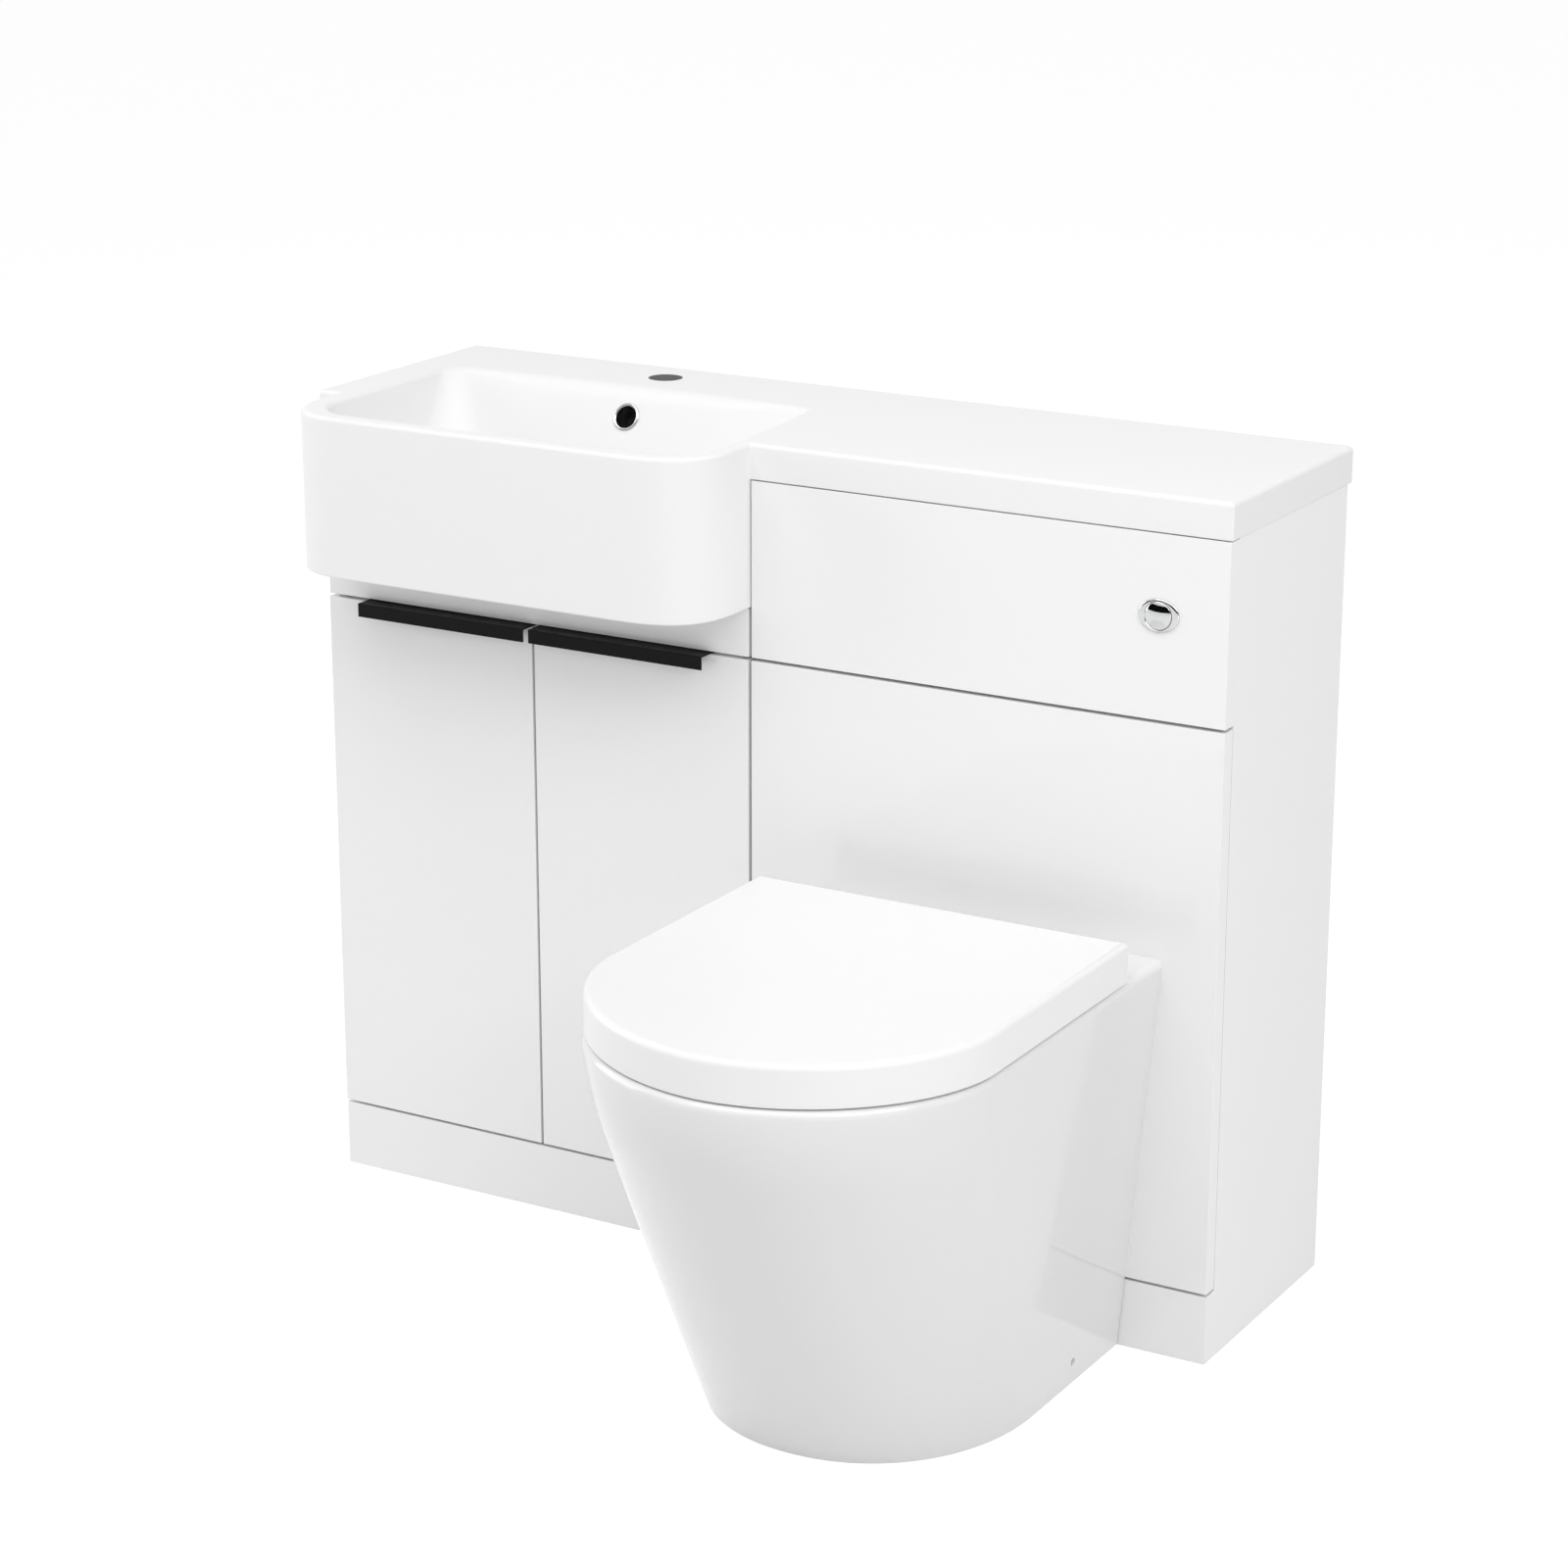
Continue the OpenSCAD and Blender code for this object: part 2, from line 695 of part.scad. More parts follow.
// Bent profile that hooks over the top of a door: lip, top web and flange behind the door
module handle_profile(x) {
    difference() {
        translate([x, 0, 0]) rotate([90, 0, 90]) linear_extrude(height = handle_len) polygon([
            [-handle_out, handle_top - handle_lip], [-handle_out + handle_t, handle_top - handle_lip],
            [-handle_out + handle_t, door_top], [board_t, door_top],
            [board_t, door_top - handle_back], [board_t + handle_t / 2, door_top - handle_back],
            [board_t + handle_t / 2, handle_top], [-handle_out, handle_top]]);
        handle_screw_places(x)
            bar_y(handle_screw_r + seat_touch, 0, 0, board_t - 1, board_t + handle_t);
    }
}

module handle_screw_places(x) {
    for (dx = [handle_screw_in, handle_len / 2, handle_len - handle_screw_in])
        translate([x + dx, 0, handle_screw_z]) children();
}

module handle_screws(x) {
    head_r = 3.5;
    head_t = 1.2;
    handle_screw_places(x)
        bar_y(head_r, 0, 0, board_t + handle_t / 2, board_t + handle_t / 2 + head_t);
}

module handle_left() { color(satin_black) at_origin() handle_profile(handle_left_x); }
module handle_right() { color(satin_black) at_origin() handle_profile(handle_right_x); }
module handle_screws_left() { color(satin_black) at_origin() handle_screws(handle_left_x); }
module handle_screws_right() { color(satin_black) at_origin() handle_screws(handle_right_x); }

// Soft round buffers on the front edge of the base board, where the doors close
module door_buffers() {
    r = 4;
    color(white_plastic) at_origin()
        for (x = [vanity_w / 2 - 12, vanity_w / 2 + 12])
            bar_y(r, x, base_z + board_t / 2, board_t + seat_touch, carcass_y);
}

module hinge_cups() {
    flange_t = 0.8;
    flange_x0 = board_t + flange_t;
    flange_x1 = 33;
    flange_h = 28;
    screw_r = 3.2;
    screw_x = 28;
    screw_z = 23.5;
    screw_t = 1;
    for (z = hinge_z) {
        difference() {
            union() {
                bar_y(cup_r, cup_x, z, cup_y, board_t);
                block([flange_x0, board_t, z - flange_h], [flange_x1, board_t + flange_t, z + flange_h]);
            }
            bar_y(cup_r - cup_wall, cup_x, z, cup_y + cup_wall, board_t + 1);
        }
        translate([cup_pin[0], cup_pin[1], z - cup_r * 0.75])
            cylinder(r = hinge_pin_r, h = cup_r * 1.5);
        for (s = [-1, 1])
            bar_y(screw_r, screw_x, z + s * screw_z, board_t + flange_t, board_t + flange_t + screw_t);
    }
}

module hinge_cups_left() { color(steel_grey) at_origin() hinge_cups(); }
module hinge_cups_right() { color(steel_grey) at_origin() on_right() hinge_cups(); }

// Outline of a bent bar from p over the knee k to q
function bent_bar(p, k, q, half) =
    let (d1 = (k - p) / norm(k - p), d2 = (q - k) / norm(q - k))
    let (n1 = [-d1[1], d1[0]], n2 = [-d2[1], d2[0]], m = (n1 + n2) / (1 + n1 * n2))
    [p + half * n1, k + half * m, q + half * n2, q - half * n2, k - half * m, p - half * n1];

// Gooseneck links: from the pin in the arm, round the door's edge, to the pin in the cup
module hinge_links() {
    for (z = hinge_z) translate([0, 0, z]) difference() {
        union() {
            translate([0, 0, -link_half_h]) linear_extrude(height = 2 * link_half_h)
                polygon(bent_bar(arm_pin, link_knee, cup_pin, link_half));
            for (p = [arm_pin, cup_pin]) translate([p[0], p[1], -link_half_h])
                cylinder(r = link_eye, h = 2 * link_half_h);
        }
        for (p = [arm_pin, cup_pin]) translate([p[0], p[1], -link_half_h - 1])
            cylinder(r = hinge_pin_r + run_gap, h = 2 * link_half_h + 2);
    }
}

module hinge_links_left() { color(steel_grey) at_origin() hinge_links(); }
module hinge_links_right() { color(steel_grey) at_origin() on_right() hinge_links(); }

plate_t = 4;
plate_start = 24;
plate_end = 60;
plate_wing_t = 2;
arm_half_h = 8;
arm_start = 22;
arm_end = 58;
arm_depth = 10;
cheek = 4;

// Arms: a channel on the mounting plate, with two cheeks that hold the link's pin
module hinge_arm() {
    x0 = board_t + plate_t;
    y1 = carcass_y + arm_end;
    for (z = hinge_z) translate([0, 0, z]) {
        difference() {
            translate([0, 0, -arm_half_h]) linear_extrude(height = 2 * arm_half_h) polygon([
                [x0, y1], [x0, carcass_y + arm_start], [arm_pin[0] - cheek, arm_pin[1] - cheek],
                [arm_pin[0] + cheek, arm_pin[1] - cheek], [arm_pin[0] + cheek, arm_pin[1] + cheek + 1],
                [x0 + arm_depth, y1]]);
            translate([x0 - 1, carcass_y, -link_half_h - free_gap])
                cube([30, arm_pin[1] - carcass_y + link_eye + 3, 2 * (link_half_h + free_gap)]);
        }
        translate([arm_pin[0], arm_pin[1], -arm_half_h]) cylinder(r = hinge_pin_r, h = 2 * arm_half_h);
    }
}

module hinge_plate() {
    y0 = carcass_y + plate_start;
    y1 = carcass_y + plate_end;
    wing = 11;
    for (z = hinge_z) difference() {
        union() {
            block([board_t, y0, z - arm_half_h], [board_t + plate_t, y1, z + arm_half_h]);
            block([board_t, plate_hole_y + carcass_y - board_t - wing / 2,
                z - plate_hole_z - arm_half_h],
                [board_t + plate_wing_t, plate_hole_y + carcass_y - board_t + wing / 2,
                    z + plate_hole_z + arm_half_h]);
        }
        for (s = [-1, 1]) bar_x(plate_hole_d / 2, plate_hole_y + carcass_y - board_t,
            z + s * plate_hole_z, board_t - 1, board_t + plate_wing_t + 1);
    }
}

module hinge_screw_set() {
    head_r = 3.6;
    head_t = 1.6;
    x = board_t + plate_wing_t;
    for (z = hinge_z, s = [-1, 1]) {
        y = plate_hole_y + carcass_y - board_t;
        bar_x(plate_hole_d / 2 - seat_touch, y, z + s * plate_hole_z, board_t - plate_hole_deep + 1, x);
        bar_x(head_r, y, z + s * plate_hole_z, x, x + head_t);
    }
}

module both_sides() {
    children();
    on_right() children();
}

module hinge_arms() { color(steel_grey) at_origin() both_sides() hinge_arm(); }
module hinge_plates() { color(steel_grey) at_origin() both_sides() hinge_plate(); }
module hinge_screws() { color(steel_grey) at_origin() both_sides() hinge_screw_set(); }

// ---------------------------------------------------------------- pan

// How far the pan's front has come forward of its foot at height z
function pan_forward(z) =
    let (knee = pan_h - pan_edge_r - pan_turn)
    let (over = min(max(z - knee, 0), pan_turn))
    pan_slope * min(z, pan_h - pan_edge_r) - pan_slope * over * over / (2 * pan_turn);

function pan_half(z) = (pan_foot_w + (pan_rim_w - pan_foot_w) * z / pan_h) / 2;

pan_foot_power = 2.11;
pan_rim_power = 1.9;
function pan_power(z) = pan_foot_power
    + (pan_rim_power - pan_foot_power) * pan_forward(z) / pan_reach;

// Outline of the pan at height z, drawn in by inset
function pan_outline(z, inset, back = 0) =
    let (yc = -(pan_foot_front - pan_nose) - pan_forward(z)) concat(
    [[pan_x + pan_half(z) - inset, back], [pan_x - pan_half(z) + inset, back]],
    power_arc([pan_x, yc], pan_half(z) - inset, pan_nose - inset, pan_power(z), 180, 360, 40));

module pan_shell() {
    knee = pan_h - pan_edge_r - pan_turn;
    hull() {
        for (z = [0, knee]) slice(z, pan_outline(z, 0));
        for (i = [1:4]) slice(knee + pan_turn * i / 4, pan_outline(knee + pan_turn * i / 4, 0));
        for (a = [30, 60, 90]) slice(pan_h - pan_edge_r * (1 - sin(a)) - slit,
            pan_outline(pan_h - pan_edge_r, pan_edge_r * (1 - cos(a))));
    }
}

pan_deck_t = 28;
bowl_pan_y = -335;
sump_y = -262;
sump_z = 142;
sump_r = 40;
bowl_half = pan_rim_w / 2 - pan_rim - 8;

// Slices of the pan's bowl from its sump to its rim: height, half width, half length, centre
function pan_bowl_levels() = [
    [sump_z, sump_r * 0.8, sump_r * 0.8, sump_y],
    [sump_z + 12, sump_r, sump_r, sump_y],
    [sump_z + 55, sump_r * 1.25, sump_r * 1.45, sump_y - 8],
    [pan_h - 130, bowl_half * 0.78, bowl_half * 0.84, bowl_pan_y + 26],
    [pan_h - 75, bowl_half * 0.94, bowl_half * 0.98, bowl_pan_y + 8],
    [pan_h - 20, bowl_half, bowl_half * 1.04, bowl_pan_y]];

module pan_bowl(grow, top) {
    rim_z = pan_h - 20;
    hull() for (l = pan_bowl_levels())
        slice(min(l[0], top) - (l[0] == sump_z ? grow : 0),
            power_arc([pan_x, l[3]], l[1] + grow, l[2] + grow, 2.1, 0, 352.5, 47),
            l[0] == rim_z ? max(top - rim_z, slit) : slit);
}

inlet_deep = 40;
fixing_hole_r = 4;
spigot_start = -25;
trap_r = 36;

// The open space inside the pan's shell, which the bowl and the outlet stand in
module pan_inside() {
    top = pan_h - pan_deck_t;
    difference() {
        hull() {
            slice(-1, pan_outline(0, pan_wall, 1));
            for (f = [0.5, 0.85, 1]) slice(top * f, pan_outline(top * f, pan_wall, 1));
        }
        pan_bowl(pan_wall - 2, top + 1);
        bar_y(soil_d / 2 - 2, pan_x, soil_z, sump_y, spigot_start);
        bar_y(soil_d / 2, pan_x, soil_z, spigot_start, 2);
        bar_y(inlet_r + 7, pan_x, inlet_z, bowl_pan_y, 0);
    }
}

module toilet_pan() {
    color(white_china) at_origin() difference() {
        union() {
            difference() {
                pan_shell();
                pan_inside();
            }
            bar_y(soil_d / 2, pan_x, soil_z, spigot_start, soil_out);
        }
        pan_bowl(0, pan_h + 2);
        bar_y(trap_r, pan_x, soil_z, sump_y, soil_out + 1);
        bar_y(inlet_r, pan_x, inlet_z, -inlet_deep, 1);
        bar_y(inlet_r * 0.7, pan_x, inlet_z, bowl_pan_y, 1);
        for (s = [-1, 1]) {
            translate([pan_x + s * seat_fixing_w / 2, seat_axis_y, pan_h - pan_deck_t - 1])
                cylinder(r = 8, h = pan_deck_t + 2);
            bar_x(fixing_hole_r, -pan_fixing_y, pan_fixing_z,
                pan_x + (s > 0 ? pan_half(0) - 2 * pan_wall : -pan_half(0) - pan_wall),
                pan_x + (s > 0 ? pan_half(0) + pan_wall : -pan_half(0) + 2 * pan_wall));
        }
    }
}

pan_bracket_w = 30;
pan_bracket_t = 4;
pan_bracket_foot = 40;
pan_bracket_x = pan_half(0) - pan_wall - 0.5;
pan_bracket_hole = 22;

// Angle brackets on the floor inside the pan, which the side screws go into
module pan_brackets() {
    h = pan_fixing_z + 14;
    color(white_plastic) at_origin() for (s = [-1, 1])
        translate([pan_x, -pan_fixing_y, 0]) mirror([s < 0 ? 1 : 0, 0, 0]) difference() {
            union() {
                block([pan_bracket_x - pan_bracket_foot, -pan_bracket_w / 2, 0],
                    [pan_bracket_x, pan_bracket_w / 2, pan_bracket_t]);
                block([pan_bracket_x - pan_bracket_t * 2, -pan_bracket_w / 2, 0],
                    [pan_bracket_x, pan_bracket_w / 2, h]);
            }
            bar_x(2.6, 0, pan_fixing_z, pan_bracket_x - 20, pan_bracket_x + 1);
            translate([pan_bracket_x - pan_bracket_hole, 0, -1]) cylinder(r = 3.5, h = 10);
        }
}

module pan_bracket_screws() {
    color(chrome_grey) at_origin() for (s = [-1, 1])
        translate([pan_x, 0, 0]) mirror([s < 0 ? 1 : 0, 0, 0]) {
            bar_x(2.5, -pan_fixing_y, pan_fixing_z, pan_bracket_x - 12, pan_bracket_x + pan_wall);
            bar_x(fixing_hole_r - free_gap, -pan_fixing_y, pan_fixing_z,
                pan_bracket_x + pan_wall - 3, pan_bracket_x + pan_wall);
        }
}

// ---------------------------------------------------------------- seat and lid

seat_axis_y = -(lid_back + seat_axis_in);
seat_axis_z = pan_h + seat_axis_h;
lid_nose = 180;
lid_z = pan_h + lid_gap;
lid_top_z = lid_z + lid_h;
lid_inner_z = lid_top_z - lid_top;
lid_power = 1.88;

// Outline of the lid drawn in by inset, with its straight back edge at back
function lid_outline(inset, back) = concat(
    [[pan_x + lid_w / 2 - inset - 1, back], [pan_x - lid_w / 2 + inset + 1, back]],
    power_arc([pan_x, -lid_front + lid_nose], lid_w / 2 - inset, lid_nose - inset, lid_power,
        180, 360, 44));

post_w = 16;
post_r = 9.5;
ear_w = 13;
ear_gap = 1;
pin_len = post_w + 2 * (ear_w + ear_gap) + 4;

module lid_ear_places() {
    for (s = [-1, 1]) translate([pan_x + s * (seat_fixing_w / 2 + post_w / 2 + ear_gap + ear_w / 2),
        seat_axis_y, seat_axis_z]) children();
}

module seat_ear_places() {
    for (s = [-1, 1]) translate([pan_x + s * (seat_fixing_w / 2 - post_w / 2 - ear_gap - ear_w / 2),
        seat_axis_y, seat_axis_z]) children();
}

module seat_lid() {
    back = -lid_back;
    inner_r = lid_edge_r - lid_wall / 2;
    color(white_plastic) at_origin() difference() {
        union() {
            difference() {
                hull() {
                    slice(lid_z, lid_outline(0, back), lid_h - lid_edge_r);
                    for (a = [30, 60, 90]) slice(lid_top_z - lid_edge_r * (1 - sin(a)) - slit,
                        lid_outline(lid_edge_r * (1 - cos(a)), back - lid_edge_r * (1 - cos(a))));
                }
                hull() {
                    slice(lid_z - 1, lid_outline(lid_wall, back + 1),
                        lid_inner_z - inner_r - lid_z + 1);
                    slice(lid_inner_z - slit, lid_outline(lid_wall + inner_r, back + 1));
                }
            }
            lid_ear_places() {
                rotate([0, 90, 0]) cylinder(r = post_r, h = ear_w, center = true);
                block([-ear_w / 2, -post_r, 0], [ear_w / 2, 2, lid_inner_z - seat_axis_z + 1]);
            }
        }
        lid_ear_places() rotate([0, 90, 0])
            cylinder(r = seat_pin_d / 2 + run_gap, h = 2 * ear_w, center = true);
    }
}

seat_z = pan_h + 3;
seat_top_z = lid_inner_z - 7;
seat_back = seat_axis_y - post_r - 2.5;
seat_inset = lid_wall + 2;
seat_open_half = lid_w / 2 - seat_inset - seat_ring_w;

function seat_opening(grow) = power_arc([pan_x, bowl_pan_y], seat_open_half + grow,
    seat_open_half * 1.12 + grow, 2.1, 0, 352.5, 47);

module seat_ring() {
    edge = 4;
    color(white_plastic) at_origin() difference() {
        union() {
            difference() {
                hull() {
                    slice(seat_z, lid_outline(seat_inset + 1, seat_back));
                    slice(seat_z + 2, lid_outline(seat_inset, seat_back), seat_top_z - edge - seat_z - 2);
                    slice(seat_top_z - slit, lid_outline(seat_inset + edge, seat_back - edge));
                }
                hull() {
                    slice(seat_z - 1, seat_opening(0), 9);
                    slice(seat_top_z + 1, seat_opening(9));
                }
            }
            seat_ear_places() {
                rotate([0, 90, 0]) cylinder(r = post_r, h = ear_w, center = true);
                block([-ear_w / 2, -post_r - 12, -post_r], [ear_w / 2, 0, 3]);
            }
        }
        seat_ear_places() rotate([0, 90, 0])
            cylinder(r = seat_pin_d / 2 + run_gap, h = 2 * ear_w, center = true);
    }
}

// Where the buffers sit under the seat and under the lid: across and forward
buffer_places = [[-160, -250], [160, -250], [-52, -489], [52, -489]];

module buffers(r, z0, z1) {
    for (b = buffer_places) translate([pan_x + b[0], b[1], z0]) cylinder(r = r, h = z1 - z0);
}

module seat_buffers() {
    color(white_plastic) at_origin() buffers(6, pan_h + seat_touch, seat_z);
}

module lid_buffers() {
    color(white_plastic) at_origin() buffers(5, seat_top_z + seat_touch, lid_inner_z);
}

module post_places() {
    for (s = [-1, 1]) translate([pan_x + s * seat_fixing_w / 2, seat_axis_y, 0]) children();
}

module seat_hinge_posts() {
    base_r = 11;
    base_t = 5;
    color(chrome_grey) at_origin() post_places() difference() {
        union() {
            translate([0, 0, pan_h]) cylinder(r = base_r, h = base_t);
            block([-post_w / 2, -post_r, pan_h], [post_w / 2, post_r, seat_axis_z]);
            translate([0, 0, seat_axis_z]) rotate([0, 90, 0])
                cylinder(r = post_r, h = post_w, center = true);
        }
        translate([0, 0, seat_axis_z]) rotate([0, 90, 0])
            cylinder(r = seat_pin_d / 2 + run_gap, h = 2 * post_w, center = true);
    }
}

module seat_hinge_pins() {
    color(steel_grey) at_origin() post_places() translate([0, 0, seat_axis_z])
        rotate([0, 90, 0]) cylinder(d = seat_pin_d, h = pin_len, center = true);
}

nut_h = 12;
bolt_end = pan_h - pan_deck_t - nut_h - 14;

module seat_bolts() {
    color(steel_grey) at_origin() post_places()
        translate([0, 0, bolt_end]) cylinder(r = 4, h = pan_h - bolt_end);
}

module seat_nuts() {
    color(white_plastic) at_origin() post_places()
        translate([0, 0, pan_h - pan_deck_t - nut_h]) difference() {
            cylinder(r = 13, h = nut_h);
            translate([0, 0, -1]) cylinder(r = 4 + run_gap, h = nut_h + 2);
        }
}

// ---------------------------------------------------------------- cistern

tank_y1 = carcass_back - board_t - tank_standoff;
tank_y0 = tank_y1 - tank_d;
valve_y = (tank_y0 + tank_y1) / 2;
fill_side = 110;
hose_side = 40;
hose_in = 23;
fill_x = pan_x - fill_side;
hose_x = pan_x + hose_side;
hose_y = carcass_y + hose_in;
valve_tail_r = pipe_d / 2 + 7;
fill_tail_r = 11;
supply_r = 10.4;
supply_len = 30;

module cistern_tank() {
    r = 12;
    x0 = pan_x - tank_w / 2;
    x1 = pan_x + tank_w / 2;
    color(tank_grey) at_origin() difference() {
        translate([0, 0, tank_z]) linear_extrude(height = tank_h)
            polygon(rounded_box(x0, x1, tank_y0, tank_y1, r));
        translate([0, 0, tank_z + tank_wall]) linear_extrude(height = tank_h)
            polygon(rounded_box(x0 + tank_wall, x1 - tank_wall, tank_y0 + tank_wall,
                tank_y1 - tank_wall, r - tank_wall));
        translate([pan_x, valve_y, tank_z - 1])
            cylinder(r = valve_tail_r + free_gap, h = tank_wall + 2);
        translate([fill_x, valve_y, tank_z - 1])
            cylinder(r = fill_tail_r + free_gap, h = tank_wall + 2);
        bar_y(hose_d / 2 + free_gap, hose_x, button_z, tank_y0 - 1, tank_y0 + tank_wall + 1);
    }
}

module cistern_lid() {
    lap = 8;
    t = 3;
    x0 = pan_x - tank_w / 2 - t - free_gap;
    x1 = pan_x + tank_w / 2 + t + free_gap;
    color(tank_grey) at_origin() difference() {
        translate([0, 0, tank_top - lap]) linear_extrude(height = lap + t)
            polygon(rounded_box(x0, x1, tank_y0 - t - free_gap, tank_y1 + t + free_gap, 15));
        translate([0, 0, tank_top - lap - 1]) linear_extrude(height = lap + 1)
            polygon(rounded_box(x0 + t, x1 - t, tank_y0 - free_gap, tank_y1 + free_gap, 12));
    }
}

module cistern_brackets() {
    w = 30;
    h = 40;
    color(steel_grey) at_origin() for (s = [-1, 1])
        translate([pan_x + s * tank_w / 3, 0, back_rail_z + back_rail_h / 2])
            block([-w / 2, tank_y1, -h / 2], [w / 2, tank_y1 + tank_standoff, h / 2]);
}

valve_tail = 40;
valve_tail_z = tank_z - valve_tail;
valve_block_half = 20;
valve_top = button_z - valve_block_half;

module flush_valve() {
    tower_r = 34;
    block_h = 36;
    color(white_plastic) at_origin() difference() {
        union() {
            translate([pan_x, valve_y, valve_tail_z])
                cylinder(r = valve_tail_r, h = tank_z + tank_wall - valve_tail_z);
            translate([pan_x, valve_y, tank_z + tank_wall]) cylinder(r = tower_r + 8, h = 6);
            translate([pan_x, valve_y, tank_z + tank_wall]) cylinder(r = tower_r, h = 60);
            translate([pan_x, valve_y, tank_z + tank_wall])
                cylinder(r = tower_r * 0.6, h = valve_top - tank_z - tank_wall);
            block([pan_x - valve_block_half, valve_y - valve_block_half, valve_top],
                [hose_x + 10, valve_y + valve_block_half, valve_top + block_h]);
            bar_y(hose_d / 4, hose_x, button_z, valve_y - valve_block_half - 8,
                valve_y - valve_block_half);
        }
        translate([pan_x, valve_y, valve_tail_z - 1])
            cylinder(r = pipe_d / 2 + seat_touch, h = 34);
    }
}

module valve_nuts() {
    h = 12;
    color(white_plastic) at_origin() {
        translate([pan_x, valve_y, tank_z - h]) difference() {
            cylinder(r = valve_tail_r + 9, h = h);
            translate([0, 0, -1]) cylinder(r = valve_tail_r + run_gap, h = h + 2);
        }
        translate([fill_x, valve_y, tank_z - h]) difference() {
            cylinder(r = fill_tail_r + 6, h = h);
            translate([0, 0, -1]) cylinder(r = fill_tail_r + run_gap, h = h + 2);
        }
    }
}

fill_tail = 45;
fill_tail_z = tank_z - fill_tail;
float_drop = 190;
float_z = tank_top - float_drop;
float_h = 55;
float_stop_r = 16;
fill_stem_r = 10;
head_drop = 60;
stop_t = 6;

module fill_valve() {
    head_r = 20;
    head_h = 34;
    foot_t = 8;
    head_z = tank_top - head_drop;
    color(white_plastic) at_origin() translate([fill_x, valve_y, 0]) {
        translate([0, 0, fill_tail_z]) cylinder(r = supply_r, h = supply_len);
        translate([0, 0, fill_tail_z + supply_len])
            cylinder(r = fill_tail_r, h = tank_z + tank_wall - fill_tail_z - supply_len);
        translate([0, 0, tank_z + tank_wall]) cylinder(r = float_stop_r, h = foot_t);
        translate([0, 0, tank_z + tank_wall]) cylinder(r = fill_stem_r, h = head_z - tank_z);
        translate([0, 0, float_z - stop_t]) cylinder(r = float_stop_r, h = stop_t - seat_touch);
        translate([0, 0, head_z]) cylinder(r = head_r, h = head_h);
    }
}

module fill_float() {
    color(tank_grey) at_origin() translate([fill_x, valve_y, float_z]) difference() {
        cylinder(r = 26, h = float_h);
        translate([0, 0, -1]) cylinder(r = fill_stem_r + free_gap, h = float_h + 2);
    }
}

pipe_wall = 1.6;

// The flush pipe: down from the valve, one bend, and forwards into the pan
module pipe_path(r, over) {
    bend_z = inlet_z + pipe_bend_r;
    translate([pan_x, valve_y, bend_z]) cylinder(r = r, h = valve_tail_z + 30 - bend_z + over);
    bar_y(r, pan_x, inlet_z, -inlet_deep + 8 - over, valve_y - pipe_bend_r);
    translate([pan_x, valve_y - pipe_bend_r, bend_z]) rotate([0, 90, 0])
        bend(r, pipe_bend_r, 0, 90);
}

module flush_pipe() {
    color(white_plastic) at_origin() difference() {
        pipe_path(pipe_d / 2, 0);
        pipe_path(pipe_d / 2 - pipe_wall, 1);
    }
}

module inlet_seal() {
    color(rubber_black) at_origin() difference() {
        union() {
            bar_y(inlet_r - seat_touch, pan_x, inlet_z, -inlet_deep + 6, 0);
            bar_y(inlet_r + seal_flange, pan_x, inlet_z, 0, 4);
        }
        bar_y(pipe_d / 2 + run_gap, pan_x, inlet_z, -inlet_deep, 5);
    }
}

spigot_x = button_x - housing_r;

// The air hose from the button to the flush valve, as a closed run or as its bore
module hose_path(r, over) {
    translate([hose_x + hose_bend_r, hose_y, button_z]) rotate([0, 90, 0])
        cylinder(r = r, h = spigot_x - seat_touch - hose_x - hose_bend_r + over);
    bar_y(r, hose_x, button_z, hose_y + hose_bend_r, valve_y - valve_block_half - seat_touch + over);
    translate([hose_x + hose_bend_r, hose_y + hose_bend_r, button_z])
        bend(r, hose_bend_r, 180, 90);
}

module air_hose() {
    color(tank_grey) at_origin() difference() {
        hose_path(hose_d / 2, 0);
        hose_path(hose_d / 4 + seat_touch, 1);
    }
}

// ---------------------------------------------------------------- push button

bezel_front = buffer_gap - bezel_t;
housing_back = hose_y + 8;
button_len = 24;

module button_bezel() {
    steps = 36;
    function oval(inset) = [for (i = [0:steps - 1]) let (a = i * 360 / steps)
        [(bezel_w / 2 - inset) * cos(a), (bezel_h / 2 - inset) * sin(a)]];
    color(chrome_grey) at_origin() translate([button_x, buffer_gap, button_z]) rotate([90, 0, 0])
        difference() {
            hull() {
                slice(0, oval(0), bezel_t * 0.5);
                slice(bezel_t * 0.85, oval(0.5));
                slice(bezel_t - slit, oval(1.2));
            }
            translate([0, 0, -1]) cylinder(r = button_d / 2 + free_gap, h = bezel_t + 2);
        }
}

module button_housing() {
    floor_y = buffer_gap + button_len + button_travel + 1;
    color(white_plastic) at_origin() {
        difference() {
            bar_y(housing_r, button_x, button_z, buffer_gap, housing_back);
            bar_y(button_d / 2 + free_gap, button_x, button_z, buffer_gap - 1, floor_y);
        }
        translate([spigot_x - 9, hose_y, button_z]) rotate([0, 90, 0])
            cylinder(r = hose_d / 4, h = 12);
    }
}

module button_nut() {
    t = 7;
    color(white_plastic) at_origin() difference() {
        bar_y(housing_r + 6, button_x, button_z, carcass_y, carcass_y + t);
        bar_y(housing_r + run_gap, button_x, button_z, carcass_y - 1, carcass_y + t + 1);
    }
}

module flush_button() {
    r = button_d / 2;
    sphere_r = (r * r + dome_h * dome_h) / (2 * dome_h);
    front = bezel_front - dome_h;
    color(chrome_grey) at_origin() intersection() {
        bar_y(r, button_x, button_z, front, buffer_gap + button_len);
        translate([button_x, front + sphere_r, button_z]) sphere(r = sphere_r);
    }
}

